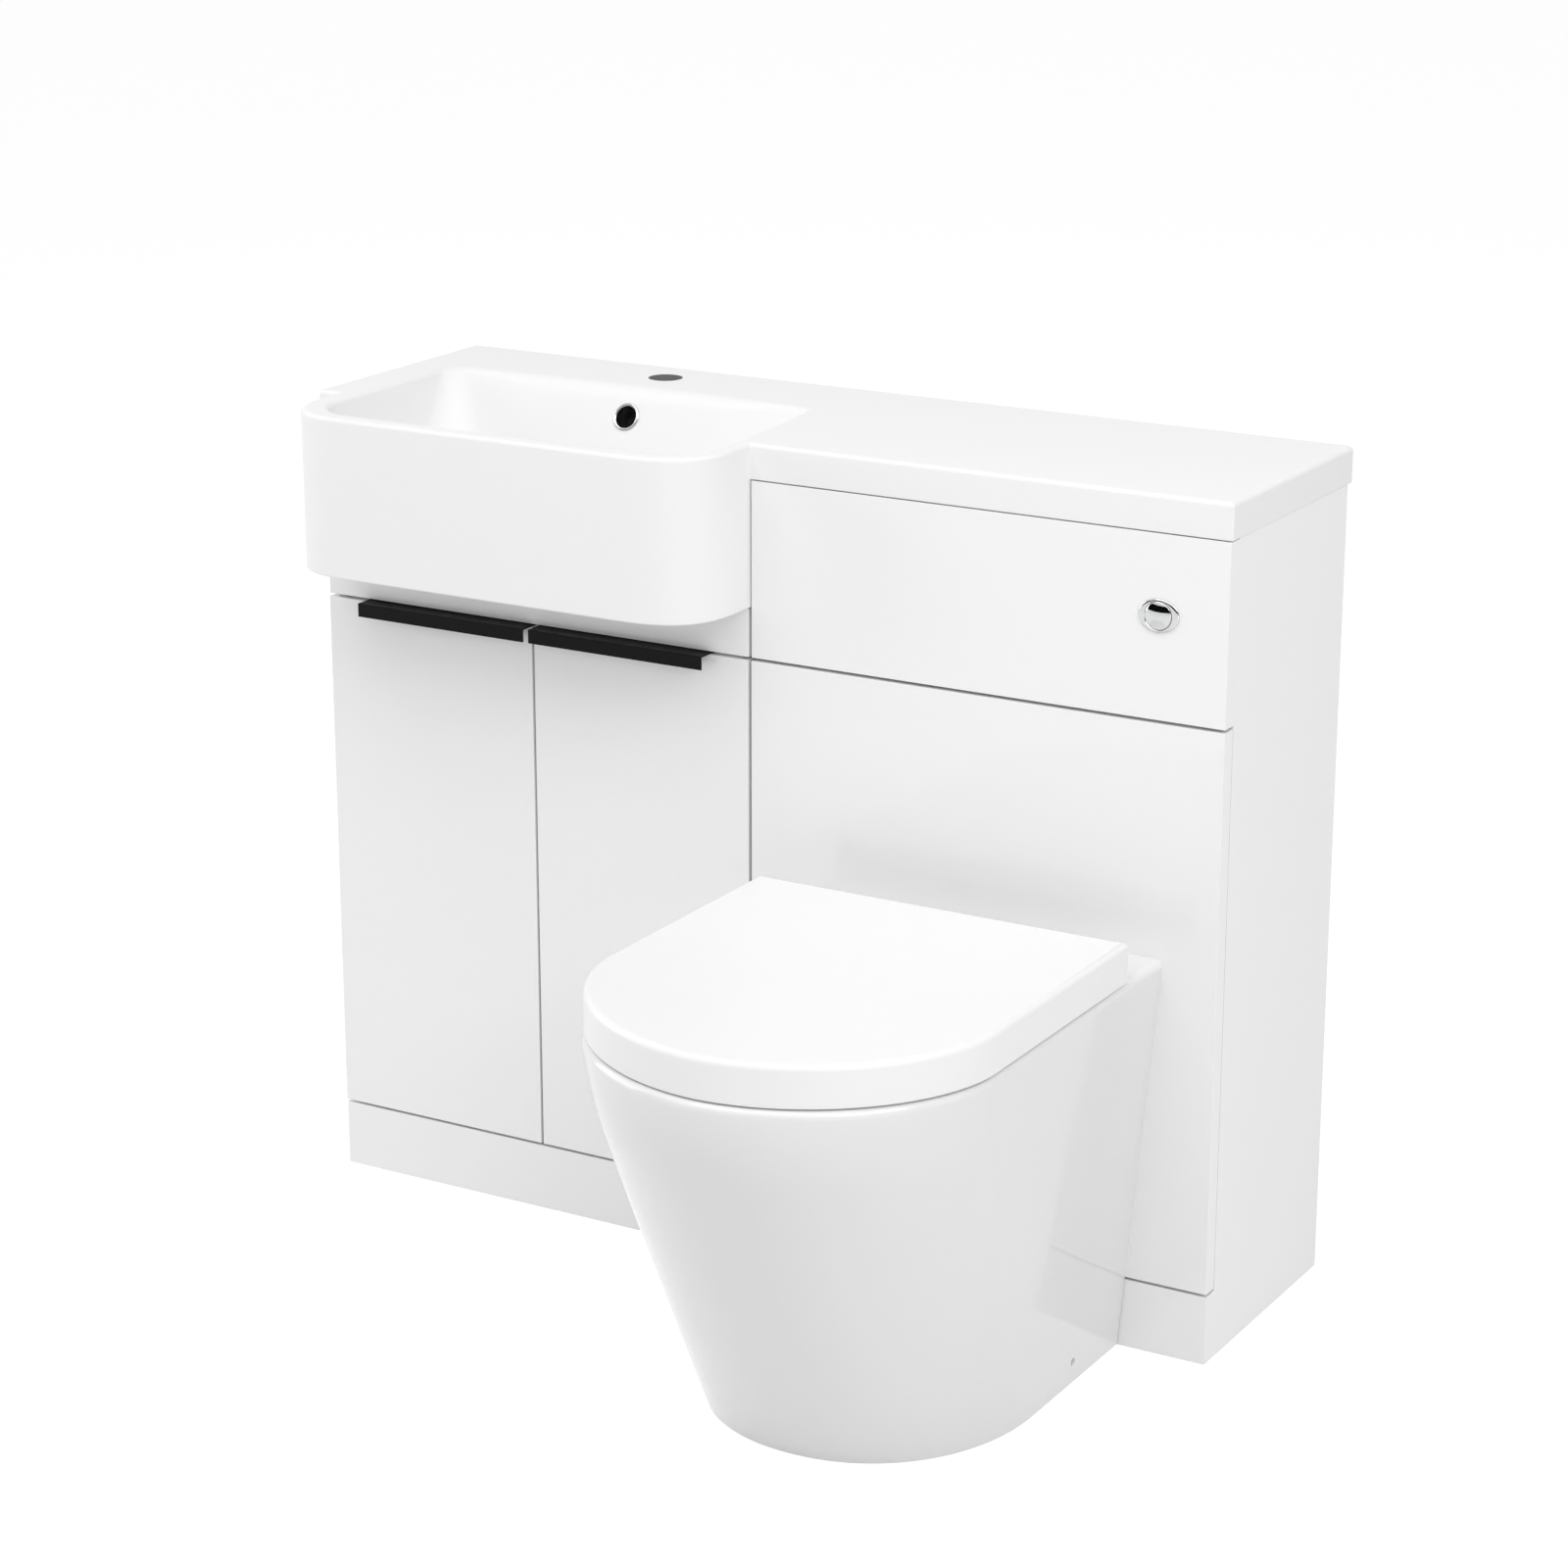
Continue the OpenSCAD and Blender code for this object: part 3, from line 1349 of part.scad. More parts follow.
basin_worktop();
overflow_ring();
vanity_side_left();
vanity_side_right();
vanity_base();
vanity_front_rail();
vanity_back_rails();
vanity_fascia();
vanity_plinth();
wc_side_left();
wc_side_right();
wc_front_rail();
wc_back_rail();
wc_fascia();
access_panel();
wc_plinth();
panel_blocks();
cam_locks();
unit_connectors();
wall_brackets();
door_left();
door_right();
handle_left();
handle_right();
handle_screws_left();
handle_screws_right();
door_buffers();
hinge_cups_left();
hinge_cups_right();
hinge_links_left();
hinge_links_right();
hinge_arms();
hinge_plates();
hinge_screws();
toilet_pan();
pan_brackets();
pan_bracket_screws();
seat_ring();
seat_buffers();
seat_lid();
lid_buffers();
seat_hinge_posts();
seat_hinge_pins();
seat_bolts();
seat_nuts();
cistern_tank();
cistern_lid();
cistern_brackets();
flush_valve();
valve_nuts();
fill_valve();
fill_float();
flush_pipe();
inlet_seal();
air_hose();
button_bezel();
button_housing();
button_nut();
flush_button();
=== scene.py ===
"""Dresses the toilet and basin combination unit.

Lengths in the shape functions are millimetres, measured from the left face of the basin
cupboard (x), the face of its doors (y, positive towards the wall) and the floor (z).
place() turns such a point into the frame's own metres.
"""

import json
import math
from types import SimpleNamespace

import bmesh
import bpy
from bpy.props import FloatProperty, FloatVectorProperty, PointerProperty
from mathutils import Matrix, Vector


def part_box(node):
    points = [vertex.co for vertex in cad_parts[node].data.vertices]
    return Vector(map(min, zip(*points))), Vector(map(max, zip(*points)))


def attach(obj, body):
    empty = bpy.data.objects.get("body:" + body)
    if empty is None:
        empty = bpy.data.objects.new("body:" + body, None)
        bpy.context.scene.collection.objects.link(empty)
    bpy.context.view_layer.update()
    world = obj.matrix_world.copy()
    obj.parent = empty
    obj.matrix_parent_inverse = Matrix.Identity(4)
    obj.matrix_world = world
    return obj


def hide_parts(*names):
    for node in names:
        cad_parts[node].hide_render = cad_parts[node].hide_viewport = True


bl_info = {
    "name": "Toilet and basin combination unit",
    "version": (1, 0, 0),
    "blender": (4, 5, 0),
    "location": "View3D > Sidebar > Bathroom",
    "description": "Builds the moulded pieces, finishes and studio of the combination unit",
    "category": "Object",
}

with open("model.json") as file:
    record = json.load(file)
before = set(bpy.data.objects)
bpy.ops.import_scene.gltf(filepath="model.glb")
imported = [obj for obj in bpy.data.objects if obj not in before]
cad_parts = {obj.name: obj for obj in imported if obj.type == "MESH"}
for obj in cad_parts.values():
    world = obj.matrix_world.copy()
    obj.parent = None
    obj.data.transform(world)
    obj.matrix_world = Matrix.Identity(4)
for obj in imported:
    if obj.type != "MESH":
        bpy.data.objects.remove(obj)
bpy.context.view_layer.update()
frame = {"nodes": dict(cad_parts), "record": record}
MM = 0.001
DATUM = Vector((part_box("vanity_side_left")[0].x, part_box("door_left")[0].y, 0.0))


def place(point):
    """A point in millimetres from the cupboard's corner, in the frame's metres."""
    return DATUM + Vector(point) * MM


def extent(node):
    """Lowest and highest corner of a CAD node, in millimetres from the cupboard's corner."""
    low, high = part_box(node)
    return (low - DATUM) / MM, (high - DATUM) / MM


def lengths(group):
    """A property group's lengths, which are in metres, in millimetres."""
    names = type(group).__annotations__
    return SimpleNamespace(**{name: getattr(group, name) / MM for name in names})


# ---------------- outlines


def power_arc(centre, across, along, power, start, end, steps):
    """Points on a superellipse's arc, angles in degrees; power 2 is an ellipse."""
    points = []
    for i in range(steps + 1):
        angle = math.radians(start + (end - start) * i / steps)
        c, s = math.cos(angle), math.sin(angle)
        x = centre[0] + across * math.copysign(abs(c) ** (2 / power), c)
        y = centre[1] + along * math.copysign(abs(s) ** (2 / power), s)
        points.append((x, y))
    return points


def arc(centre, radius, start, end, steps):
    """Points on a circle's arc, angles in degrees."""
    return power_arc(centre, radius, radius, 2.0, start, end, steps)


def closed_power(centre, across, along, power, steps):
    """A whole superellipse, without its first point twice."""
    return power_arc(centre, across, along, power, 0, 360, steps)[:-1]


def straight(first, last, count):
    """Points between two others, without the two themselves."""
    shares = [(i + 1) / (count + 1) for i in range(count)]
    return [tuple(a + (b - a) * s for a, b in zip(first, last)) for s in shares]


def rounded_rectangle(x0, x1, y0, y1, radius, steps=5):
    return (
        arc((x1 - radius, y1 - radius), radius, 0, 90, steps)
        + arc((x0 + radius, y1 - radius), radius, 90, 180, steps)
        + arc((x0 + radius, y0 + radius), radius, 180, 270, steps)
        + arc((x1 - radius, y0 + radius), radius, 270, 360, steps)
    )


def level(outline, z):
    """The outline's points at height z."""
    return [(x, y, z) for x, y in outline]


def rounding(radius, steps):
    """Inset and distance to the face of each step of a rounded edge, from the side on."""
    angles = [math.radians(90 * i / steps) for i in range(steps + 1)]
    return [(radius * (1 - math.cos(a)), radius * (1 - math.sin(a))) for a in angles]


def top_edge(outline, radius, steps, z):
    """Rings up a rounded edge to its face at z; outline gives the points at an inset."""
    return [level(outline(inset), z - drop) for inset, drop in rounding(radius, steps)]


def foot_edge(outline, radius, steps, z):
    """Rings up from a face at z round its edge; outline gives the points at an inset."""
    return [level(outline(inset), z + rise) for inset, rise in rounding(radius, steps)[::-1]]


def ease(low, high, share):
    """Goes softly from low to high as share goes from 0 to 1."""
    share = min(max(share, 0.0), 1.0)
    return low + (high - low) * share * share * (3 - 2 * share)


def through(rows, at):
    """A smooth row of values at a height, from rows that start with their heights."""
    at = min(max(at, rows[0][0]), rows[-1][0])
    k = max(i for i in range(len(rows) - 1) if rows[i][0] <= at)
    before, a, b, after = (rows[min(max(k + d, 0), len(rows) - 1)] for d in (-1, 0, 1, 2))
    t = (at - a[0]) / (b[0] - a[0])
    values = []
    for p, q, r, s in zip(before[1:], a[1:], b[1:], after[1:]):
        bend = 2 * p - 5 * q + 4 * r - s
        twist = 3 * (q - r) + s - p
        values.append(q + 0.5 * t * (r - p + t * (bend + t * twist)))
    return values


# ---------------- meshes

# How far a tool reaches past a plain face, and past a face whose edge it rounds.
OVER, SKIM = 1.0, 0.02
# Steps round a large, a middling and a small circle, and round the pan's and lid's front.
FINE, MEDIUM, COARSE, NOSE_STEPS = 96, 48, 32, 88


def put(name, data):
    """A new object in the scene, for a mesh, a lamp or a camera."""
    made = bpy.data.objects.new(name, data)
    bpy.context.scene.collection.objects.link(made)
    return made


def loft(name, rings, closed=False):
    """A skin through rings of points in millimetres: capped at both ends, or closed on itself."""
    count = len(rings[0])
    points = [place(point) for ring in rings for point in ring]
    last = len(rings) if closed else len(rings) - 1
    faces = []
    for r in range(last):
        a, b = r * count, (r + 1) % len(rings) * count
        for i in range(count):
            j = (i + 1) % count
            faces.append((a + i, a + j, b + j, b + i))
    if not closed:
        faces.append(tuple(range(count))[::-1])
        faces.append(tuple(range((len(rings) - 1) * count, len(rings) * count)))
    mesh = bpy.data.meshes.new(name)
    mesh.from_pydata(points, [], faces)
    shell = bmesh.new()
    shell.from_mesh(mesh)
    bmesh.ops.recalc_face_normals(shell, faces=shell.faces)
    shell.to_mesh(mesh)
    shell.free()
    return put(name, mesh)


def block(low, high):
    """A tool for cutting or joining, given by two opposite corners."""
    outline = [(low[0], low[1]), (high[0], low[1]), (high[0], high[1]), (low[0], high[1])]
    return loft("block", [level(outline, low[2]), level(outline, high[2])])


def turned(name, start, direction, profile, segments=64, closed=False):
    """A round piece turned about an axis: profile lists distances along the axis and radii."""
    axis = Vector(direction).normalized()
    side = axis.orthogonal().normalized()
    other = axis.cross(side)
    turns = [2 * math.pi * i / segments for i in range(segments)]
    rings = []
    for along, radius in profile:
        centre = Vector(start) + axis * along
        rings.append([centre + (side * math.cos(t) + other * math.sin(t)) * radius for t in turns])
    return loft(name, rings, closed)


def rod(start, end, radius, segments=64):
    """A round tool from one point to another."""
    reach = Vector(end) - Vector(start)
    return turned("rod", start, reach, [(0.0, radius), (reach.length, radius)], segments)


def settle(piece):
    """Turns the piece's modifiers into its mesh."""
    graph = bpy.context.evaluated_depsgraph_get()
    mesh = bpy.data.meshes.new_from_object(piece.evaluated_get(graph))
    piece.modifiers.clear()
    piece.data = mesh


def combine(body, tool, operation):
    """Joins a tool to a body (UNION) or cuts it out (DIFFERENCE), and uses the tool up."""
    modifier = body.modifiers.new(operation, "BOOLEAN")
    modifier.operation = operation
    modifier.solver = "EXACT"
    modifier.object = tool
    settle(body)
    if not body.data.polygons:
        raise RuntimeError(f"{operation} of {tool.name} left nothing of {body.name}")
    bpy.data.objects.remove(tool)


def join(body, *tools):
    """Joins tools to a body, one after the other."""
    for tool in tools:
        combine(body, tool, "UNION")


def cut(body, *tools):
    """Cuts tools out of a body, one after the other."""
    for tool in tools:
        combine(body, tool, "DIFFERENCE")


# Edges steeper than this stay crisp, and points closer than this in mm are welded.
CREASE = math.radians(32)
WELD = 0.01


def soften(piece, arris=0.0):
    """Smooth shading with crisp edges, and rounded arrises where a radius in mm is given."""
    if arris:
        weld = piece.modifiers.new("Weld", "WELD")
        weld.merge_threshold = WELD * MM
        bevel = piece.modifiers.new("Arris", "BEVEL")
        bevel.width = arris * MM
        bevel.segments = 2
        bevel.limit_method = "ANGLE"
        bevel.angle_limit = CREASE
    piece.data.shade_smooth()
    piece.data.set_sharp_from_angle(angle=CREASE)
    weighted = piece.modifiers.new("Weighted normals", "WEIGHTED_NORMAL")
    weighted.keep_sharp = True


# ---------------- finishes


class Signal:
    """A socket that can stand in a sum, so that 0.2 + mask * 0.1 adds its Math nodes."""

    def __init__(self, nodes, socket):
        self.nodes = nodes
        self.socket = socket

    def _math(self, operation, left, right):
        return self.nodes.add("Math", {"operation": operation}, {0: left, 1: right})

    def __add__(self, other):
        return self._math("ADD", self, other)

    def __mul__(self, other):
        return self._math("MULTIPLY", self, other)

    __radd__ = __add__
    __rmul__ = __mul__


class Nodes:
    """The nodes of one material or world."""

    def __init__(self, owner):
        owner.use_nodes = True
        self.tree = owner.node_tree

    def add(self, kind, settings, inputs, output=0):
        """Adds a node: its settings first, then a value or a Signal for each socket."""
        made = self.tree.nodes.new("ShaderNode" + kind)
        for key, value in settings.items():
            setattr(made, key, value)
        for key, value in inputs.items():
            if isinstance(value, Signal):
                self.tree.links.new(value.socket, made.inputs[key])
            else:
                made.inputs[key].default_value = value
        return Signal(self, made.outputs[output])

    def seen(self):
        """1 on rays from the camera, on reflections and through glass, 0 on others."""
        path = [
            self.add("LightPath", {}, {}, ray)
            for ray in ("Is Camera Ray", "Is Glossy Ray", "Is Transmission Ray")
        ]
        total = path[0] + path[1] + path[2]
        return self.add("Math", {"operation": "MINIMUM"}, {0: total, 1: 1.0})

    def show(self, output, signal):
        """Links a shader to the material's or world's output node."""
        self.tree.links.new(signal.socket, self.tree.nodes[output].inputs["Surface"])


class Finish(Nodes):
    """A material in the making: its nodes, its shader and what feeds it."""

    def __init__(self, name, constants):
        self.material = bpy.data.materials.new(name)
        super().__init__(self.material)
        self.shader = self.tree.nodes["Principled BSDF"]
        for socket, value in constants.items():
            self.shader.inputs[socket].default_value = value

    def noise(self, scale, detail=2.0, stretch=(1.0, 1.0, 1.0)):
        """Noise in the object's own coordinates, in metres, stretched along its axes."""
        here = self.add("TexCoord", {}, {}, "Object")
        spot = self.add("VectorMath", {"operation": "MULTIPLY"}, {0: here, 1: stretch})
        return self.add("TexNoise", {}, {"Vector": spot, "Scale": scale, "Detail": detail})

    def feed(self, socket, signal):
        self.tree.links.new(signal.socket, self.shader.inputs[socket])

    def tone(self, mask, colour, share):
        """Feeds the colour, which is darker by a share where the mask is 0."""
        dark = [channel * (1 - share) for channel in colour]
        ends = {0: mask, 6: (*dark, 1.0), 7: (*colour, 1.0)}
        self.feed("Base Color", self.add("Mix", {"data_type": "RGBA"}, ends, 2))

    def relief(self, height, depth):
        """Raises the surface by height, times a depth in metres."""
        self.feed("Normal", self.add("Bump", {}, {"Height": height, "Distance": depth}))


def gloss_board(colours):
    """White high gloss board: faint orange peel in the lacquer and cloudy polish."""
    finish = Finish("Gloss board", {"Specular IOR Level": 0.5})
    finish.tone(finish.noise(4.0, 3.0), colours.board, 0.012)
    finish.feed("Roughness", 0.02 + finish.noise(22.0, 4.0) * 0.04)
    finish.relief(finish.noise(260.0), 0.000002)
    return finish.material


def basin_stone(colours):
    """Cast stone under a clear gel coat: very fine grain that shows only close up."""
    finish = Finish("Basin stone", {"Specular IOR Level": 0.15})
    finish.tone(finish.noise(2.5), colours.stone, 0.008)
    finish.feed("Roughness", 0.4 + finish.noise(30.0) * 0.08)
    finish.relief(finish.noise(35.0, 1.0), 0.000006)
    return finish.material


def china(colours):
    """Vitreous china: a deep clear glaze that pooled in long soft waves."""
    finish = Finish("Glazed china", {"Specular IOR Level": 0.5})
    finish.tone(finish.noise(9.0, 4.0), colours.china, 0.015)
    finish.feed("Roughness", 0.06 + finish.noise(60.0, 3.0) * 0.05)
    waves = finish.noise(14.0) * 0.85 + finish.noise(160.0) * 0.15
    finish.relief(waves, 0.00012)
    return finish.material


def seat_plastic(colours):
    """Pressed seat plastic, polished, with the faint flow of the moulding."""
    finish = Finish("Seat plastic", {"Specular IOR Level": 0.4})
    finish.tone(finish.noise(7.0, 3.0, (1.0, 0.35, 1.0)), colours.seat, 0.015)
    finish.feed("Roughness", 0.3 + finish.noise(45.0, 4.0) * 0.08)
    finish.relief(finish.noise(420.0), 0.000008)
    return finish.material


def chrome(colours):
    """Polished chrome with hairline wipe marks."""
    finish = Finish("Chrome", {"Metallic": 1.0})
    wipes = finish.noise(900.0, 2.0, (1.0, 1.0, 0.06))
    finish.tone(wipes, colours.chrome, 0.04)
    finish.feed("Roughness", 0.03 + wipes * 0.05)
    return finish.material


def satin_black(colours):
    """Black powder coat: fine even grain over a satin sheen."""
    finish = Finish("Satin black", {"Specular IOR Level": 0.12})
    grain = finish.noise(2600.0)
    finish.tone(grain, colours.handle, 0.2)
    finish.feed("Roughness", 0.45 + finish.noise(70.0, 3.0) * 0.12)
    finish.relief(grain, 0.00002)
    return finish.material


def plated_steel(colours):
    """Nickel plated steel with the lines of the strip that it was pressed from."""
    finish = Finish("Plated steel", {"Metallic": 1.0})
    lines = finish.noise(1500.0, 3.0, (1.0, 1.0, 0.04))
    finish.tone(lines, colours.steel, 0.12)
    finish.feed("Roughness", 0.24 + lines * 0.16)
    finish.relief(lines, 0.00001)
    return finish.material


def moulded(name, colour, rough):
    """Matt moulded plastic or rubber with a spark eroded texture."""
    finish = Finish(name, {})
    texture = finish.noise(1900.0, 3.0)
    finish.tone(finish.noise(18.0, 3.0), colour, 0.04)
    finish.feed("Roughness", rough + texture * 0.12)
    finish.relief(texture, 0.00003)
    return finish.material


MAKERS = {
    "gloss_board": gloss_board,
    "basin_stone": basin_stone,
    "china": china,
    "seat_plastic": seat_plastic,
    "chrome": chrome,
    "satin_black": satin_black,
    "steel": plated_steel,
    "fitting_plastic": lambda colours: moulded("Fitting plastic", colours.fitting, 0.4),
    "buffer": lambda colours: moulded("Buffer", colours.buffer, 0.3),
    "rubber": lambda colours: moulded("Rubber", colours.rubber, 0.65),
}
SLOT_OF = {part["node"]: part["material_slot"] for part in frame["record"]["subparts"]}
MADE = {}


def finish_of(node):
    """The material of a CAD node's slot, made when it is first asked for."""
    slot = SLOT_OF[node]
    if slot not in MADE:
        MADE[slot] = MAKERS[slot](bpy.context.scene.unit_finishes)
    return MADE[slot]


def dress(nodes, arris):
    """Gives CAD nodes the finish of their slot, and rounds their arrises."""
    for node in nodes:
        piece = frame["nodes"][node]
        for holder in piece.material_slots:
            holder.material = finish_of(node)
        soften(piece, arris)


def stand_in(piece, node, body="root"):
    """Finishes a piece that takes a CAD node's place and rides on its body."""
    piece.name = piece.data.name = node + "_form"
    piece.data.materials.clear()
    piece.data.materials.append(finish_of(node))
    for face in piece.data.polygons:
        face.material_index = 0
    soften(piece)
    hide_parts(node)
    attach(piece, body)


# ---------------- sizes and colours


def length(name, description, default):
    return FloatProperty(
        name=name, description=description, default=default * MM, unit="LENGTH", min=0.0
    )


def tint(name, description, default):
    return FloatVectorProperty(
        name=name, description=description, default=default, subtype="COLOR", min=0.0, max=1.0
    )


class WorktopSizes(bpy.types.PropertyGroup):
    """Sizes of the moulded basin worktop."""

    front: length("Front", "Slab's front edge behind the doors' face", 1.5)
    edge: length("Edge", "Rounding of the top edges", 4.5)
    corner: length("Corner", "Rounding of the slab's upright corners", 2.0)
    apron_left: length("Apron left", "Left face of the apron from the cupboard", 19.6)
    apron_over: length("Apron over", "Overlap of the apron past the basin cupboard", 1.0)
    apron_corner: length("Apron corner", "Size of the apron's front corners", 85.0)
    foot: length("Apron foot", "Rounding under the apron", 2.0)
    rim_left: length("Left rim", "Width of the rim at the left", 24.0)
    rim_front: length("Front rim", "Width of the rim at the front", 19.4)
    rim_right: length("Right rim", "Width of the rim at the front right", 13.0)
    slant: length("Slant", "How far the bowl's right side lies inwards at its back", 12.0)
    bowl_back: length("Bowl back", "Back edge of the bowl behind the doors' face", 168.0)
    bowl_depth: length("Bowl depth", "Depth of the bowl at its waste", 143.0)
    bowl_floor: length("Bowl floor", "Rounding between the bowl's walls and floor", 45.0)
    fall: length("Fall", "Fall of the floor to the waste", 6.0)
    lip: length("Lip", "Rounding of the bowl's rim at the front and sides", 4.5)
    back_lip: length("Back lip", "Rounding of the bowl's rim at the back", 24.0)
    wall: length("Wall", "Thickness of the bowl's walls", 12.0)
    tap: length("Tap", "Taps, overflow and waste from the cupboard's left face", 265.0)
    tap_back: length("Tap back", "Tap hole behind the doors' face", 230.0)
    tap_hole: length("Tap hole", "Diameter of the tap hole", 35.0)
    waste_back: length("Waste back", "Waste hole behind the doors' face", 20.0)
    waste_hole: length("Waste hole", "Diameter of the waste hole", 45.0)
    overflow_drop: length("Overflow drop", "Overflow's centre below the top", 27.5)
    overflow_ring: length("Overflow ring", "Diameter of the overflow ring", 30.0)
    overflow_hole: length("Overflow hole", "Diameter of the overflow passage", 24.0)


class PanSizes(bpy.types.PropertyGroup):
    """Sizes of the toilet pan."""

    foot_width: length("Foot width", "Width of the foot", 318.2)
    rim_width: length("Rim width", "Width at the rim", 391.0)
    foot_front: length("Foot front", "Projection of the foot", 357.0)
    nose: length("Nose", "Length of the rounded front", 180.0)
    turn: length("Turn", "Height over which the front turns upright", 75.5)
    edge: length("Edge", "Rounding of the top edge", 8.0)
    foot: length("Foot", "Rounding of the foot's edge", 1.5)
    wall: length("Wall", "Thickness of the walls", 13.0)
    rim: length("Rim", "Width of the rim", 52.0)
    lip: length("Lip", "Rounding of the rim's inner edge", 9.0)
    deck: length("Deck", "Thickness of the deck behind the bowl", 28.0)


class SeatSizes(bpy.types.PropertyGroup):
    """Sizes of the seat and its lid."""

    nose: length("Nose", "Length of the rounded front", 180.0)
    edge: length("Edge", "Rounding of the lid's top edge", 6.0)
    wall: length("Wall", "Thickness of the lid's skirt", 3.0)
    top: length("Top", "Thickness of the lid's top", 5.0)
    ring: length("Ring", "Width of the seat's ring", 64.0)
    ring_edge: length("Ring edge", "Rounding of the seat's upper edges", 7.0)
    fixings: length("Fixings", "Distance between the seat's fixings", 155.0)


class UnitFinishes(bpy.types.PropertyGroup):
    """Colours of the unit's finishes."""

    board: tint("Board", "White gloss board", (0.88, 0.88, 0.878))
    stone: tint("Stone", "White basin worktop", (0.866, 0.866, 0.864))
    china: tint("China", "White glaze", (0.795, 0.795, 0.793))
    seat: tint("Seat", "White seat plastic", (0.875, 0.875, 0.873))
    chrome: tint("Chrome", "Chrome plating", (0.66, 0.665, 0.67))
    handle: tint("Handle", "Black powder coat", (0.006, 0.006, 0.006))
    steel: tint("Steel", "Plated steel", (0.58, 0.58, 0.59))
    fitting: tint("Fitting", "Moulded fittings", (0.74, 0.75, 0.76))
    buffer: tint("Buffer", "Soft buffers", (0.72, 0.72, 0.70))
    rubber: tint("Rubber", "Rubber seals and hose", (0.035, 0.035, 0.035))
    # Core and bore are raw casting, darkened as painted shade deep inside the overflow and the tap
    # hole.
    core: tint("Core", "Raw casting inside the overflow, darkened as painted shade", (0.02, 0.02, 0.02))
    bore: tint("Bore", "Raw casting inside the tap hole, darkened as painted shade", (0.2, 0.2, 0.2))


class StudioLight(bpy.types.PropertyGroup):
    """Strength of the studio's lights."""

    sky: FloatProperty(name="Sky", description="Strength of the even light", default=0.51)
    front: FloatProperty(name="Front", description="Power of the high front lamp", default=50.0)
    left: FloatProperty(name="Left", description="Power of the left lamp", default=51.0)
    right: FloatProperty(name="Right", description="Power of the high right lamp", default=62.0)
    low: FloatProperty(name="Low", description="Power of the low right lamp", default=3.5)


# ---------------- basin worktop

# Outlines. Drafts and the back corners' growth are in mm for each mm of depth.
APRON_POWER, APRON_STEPS = 2.7, 28
BOWL_DRAFT, BACK_DRAFT = 0.2, 0.3
FRONT_CORNER, FRONT_SHRINK, FRONT_LEAST = 55.0, 0.5, 10.0
BACK_CORNER, CORNER_GROWTH = 22.0, 0.35
SLAB_WALL_EDGE, SLAB_LEAST_CORNER, UNDER_EDGE = 1.0, 0.4, 0.6
TOP_STEPS = 6

# Steps in the bowl's corners, and points along its back between them.
FRONT_STEPS, BACK_STEPS, BACK_POINTS = 18, 14, 11
# The rim's rounding: what share of it the back corners take, and where it is full.
LIP_STEPS, CORNER_SHARE, LIP_RUN = 9, 0.3, 110.0
FLOOR_STEPS = 12

# Under the slab: the rib with the overflow's duct, and the pockets.
WASTE_LIP, WASTE_CLEAR, TUB_CHAMFER = 2.0, 60.0, 4.0
RIB_HALF, DUCT, DUCT_IN, DUCT_STEPS = 17.0, 4.0, 9.0, 24
# The overflow passage's ends, and how far into it the dark raw finish, painted shade, runs.
PASSAGE_OUT, PASSAGE_IN, RAW_SHADE_REACH = 6.0, 22.0, 60.0
TAP_LIP, TAP_CLEAR = 0.5, 3.0
POCKET, SKIN, POCKET_GAP = 32.0, 15.0, 4.0
# How far the dark raw finish, painted shade, starts before a bore's mouth and spreads round it.
RAW_SHADE_BEFORE, RAW_SHADE_AROUND = 0.5, 0.2
RING_PLAY, RING_WALL, RING_DEPTH, RING_DOME = 0.3, 0.3, 11.0, 1.6


class Basin:
    """The basin worktop's outlines, at any inset and height."""

    def __init__(self, sizes):
        self.sizes = sizes
        self.low, self.high = extent("basin_worktop")
        self.slab_z = extent("vanity_side_left")[1].z
        self.left = sizes.apron_left
        self.right = extent("vanity_side_right")[1].x + sizes.apron_over
        self.back = extent("door_buffers")[1].y
        self.bowl_x = (self.left + sizes.rim_left, self.right - sizes.rim_right)
        self.bowl_y = (self.low.y + sizes.rim_front, sizes.bowl_back)

    def slab(self, inset):
        return rounded_rectangle(
            self.low.x + inset,
            self.high.x - inset,
            self.sizes.front + inset,
            self.high.y - min(inset, SLAB_WALL_EDGE),
            max(self.sizes.corner - inset, SLAB_LEAST_CORNER),
        )

    def apron(self, inset, past=0.0):
        """The apron's outline, whose open back can reach past the fascia's face."""
        size, back = self.sizes.apron_corner, self.back + past
        y, reach = self.low.y + size, size - inset
        left, right = (self.left + size, y), (self.right - size, y)
        return (
            [(self.right - inset, back), (self.left + inset, back)]
            + power_arc(left, reach, reach, APRON_POWER, 180, 270, APRON_STEPS)
            + power_arc(right, reach, reach, APRON_POWER, 270, 360, APRON_STEPS)
        )

    def bowl(self, inset, depth):
        """The bowl's outline: back right, back left, front left and front right corner."""
        front = max(FRONT_CORNER - inset * FRONT_SHRINK, FRONT_LEAST)
        rear = BACK_CORNER + CORNER_GROWTH * max(depth, 0.0)
        x0, x1 = self.bowl_x[0] + inset, self.bowl_x[1] - inset
        y0, y1 = self.bowl_y[0] + inset, self.bowl_y[1] - inset - BACK_DRAFT * depth
        first = arc((x1 - self.sizes.slant - rear, y1 - rear), rear, 0, 90, BACK_STEPS)
        second = arc((x0 + rear, y1 - rear), rear, 90, 180, BACK_STEPS)
        third = arc((x0 + front, y0 + front), front, 180, 270, FRONT_STEPS)
        fourth = arc((x1 - front, y0 + front), front, 270, 360, FRONT_STEPS)
        return first + straight(first[-1], second[0], BACK_POINTS) + second + third + fourth


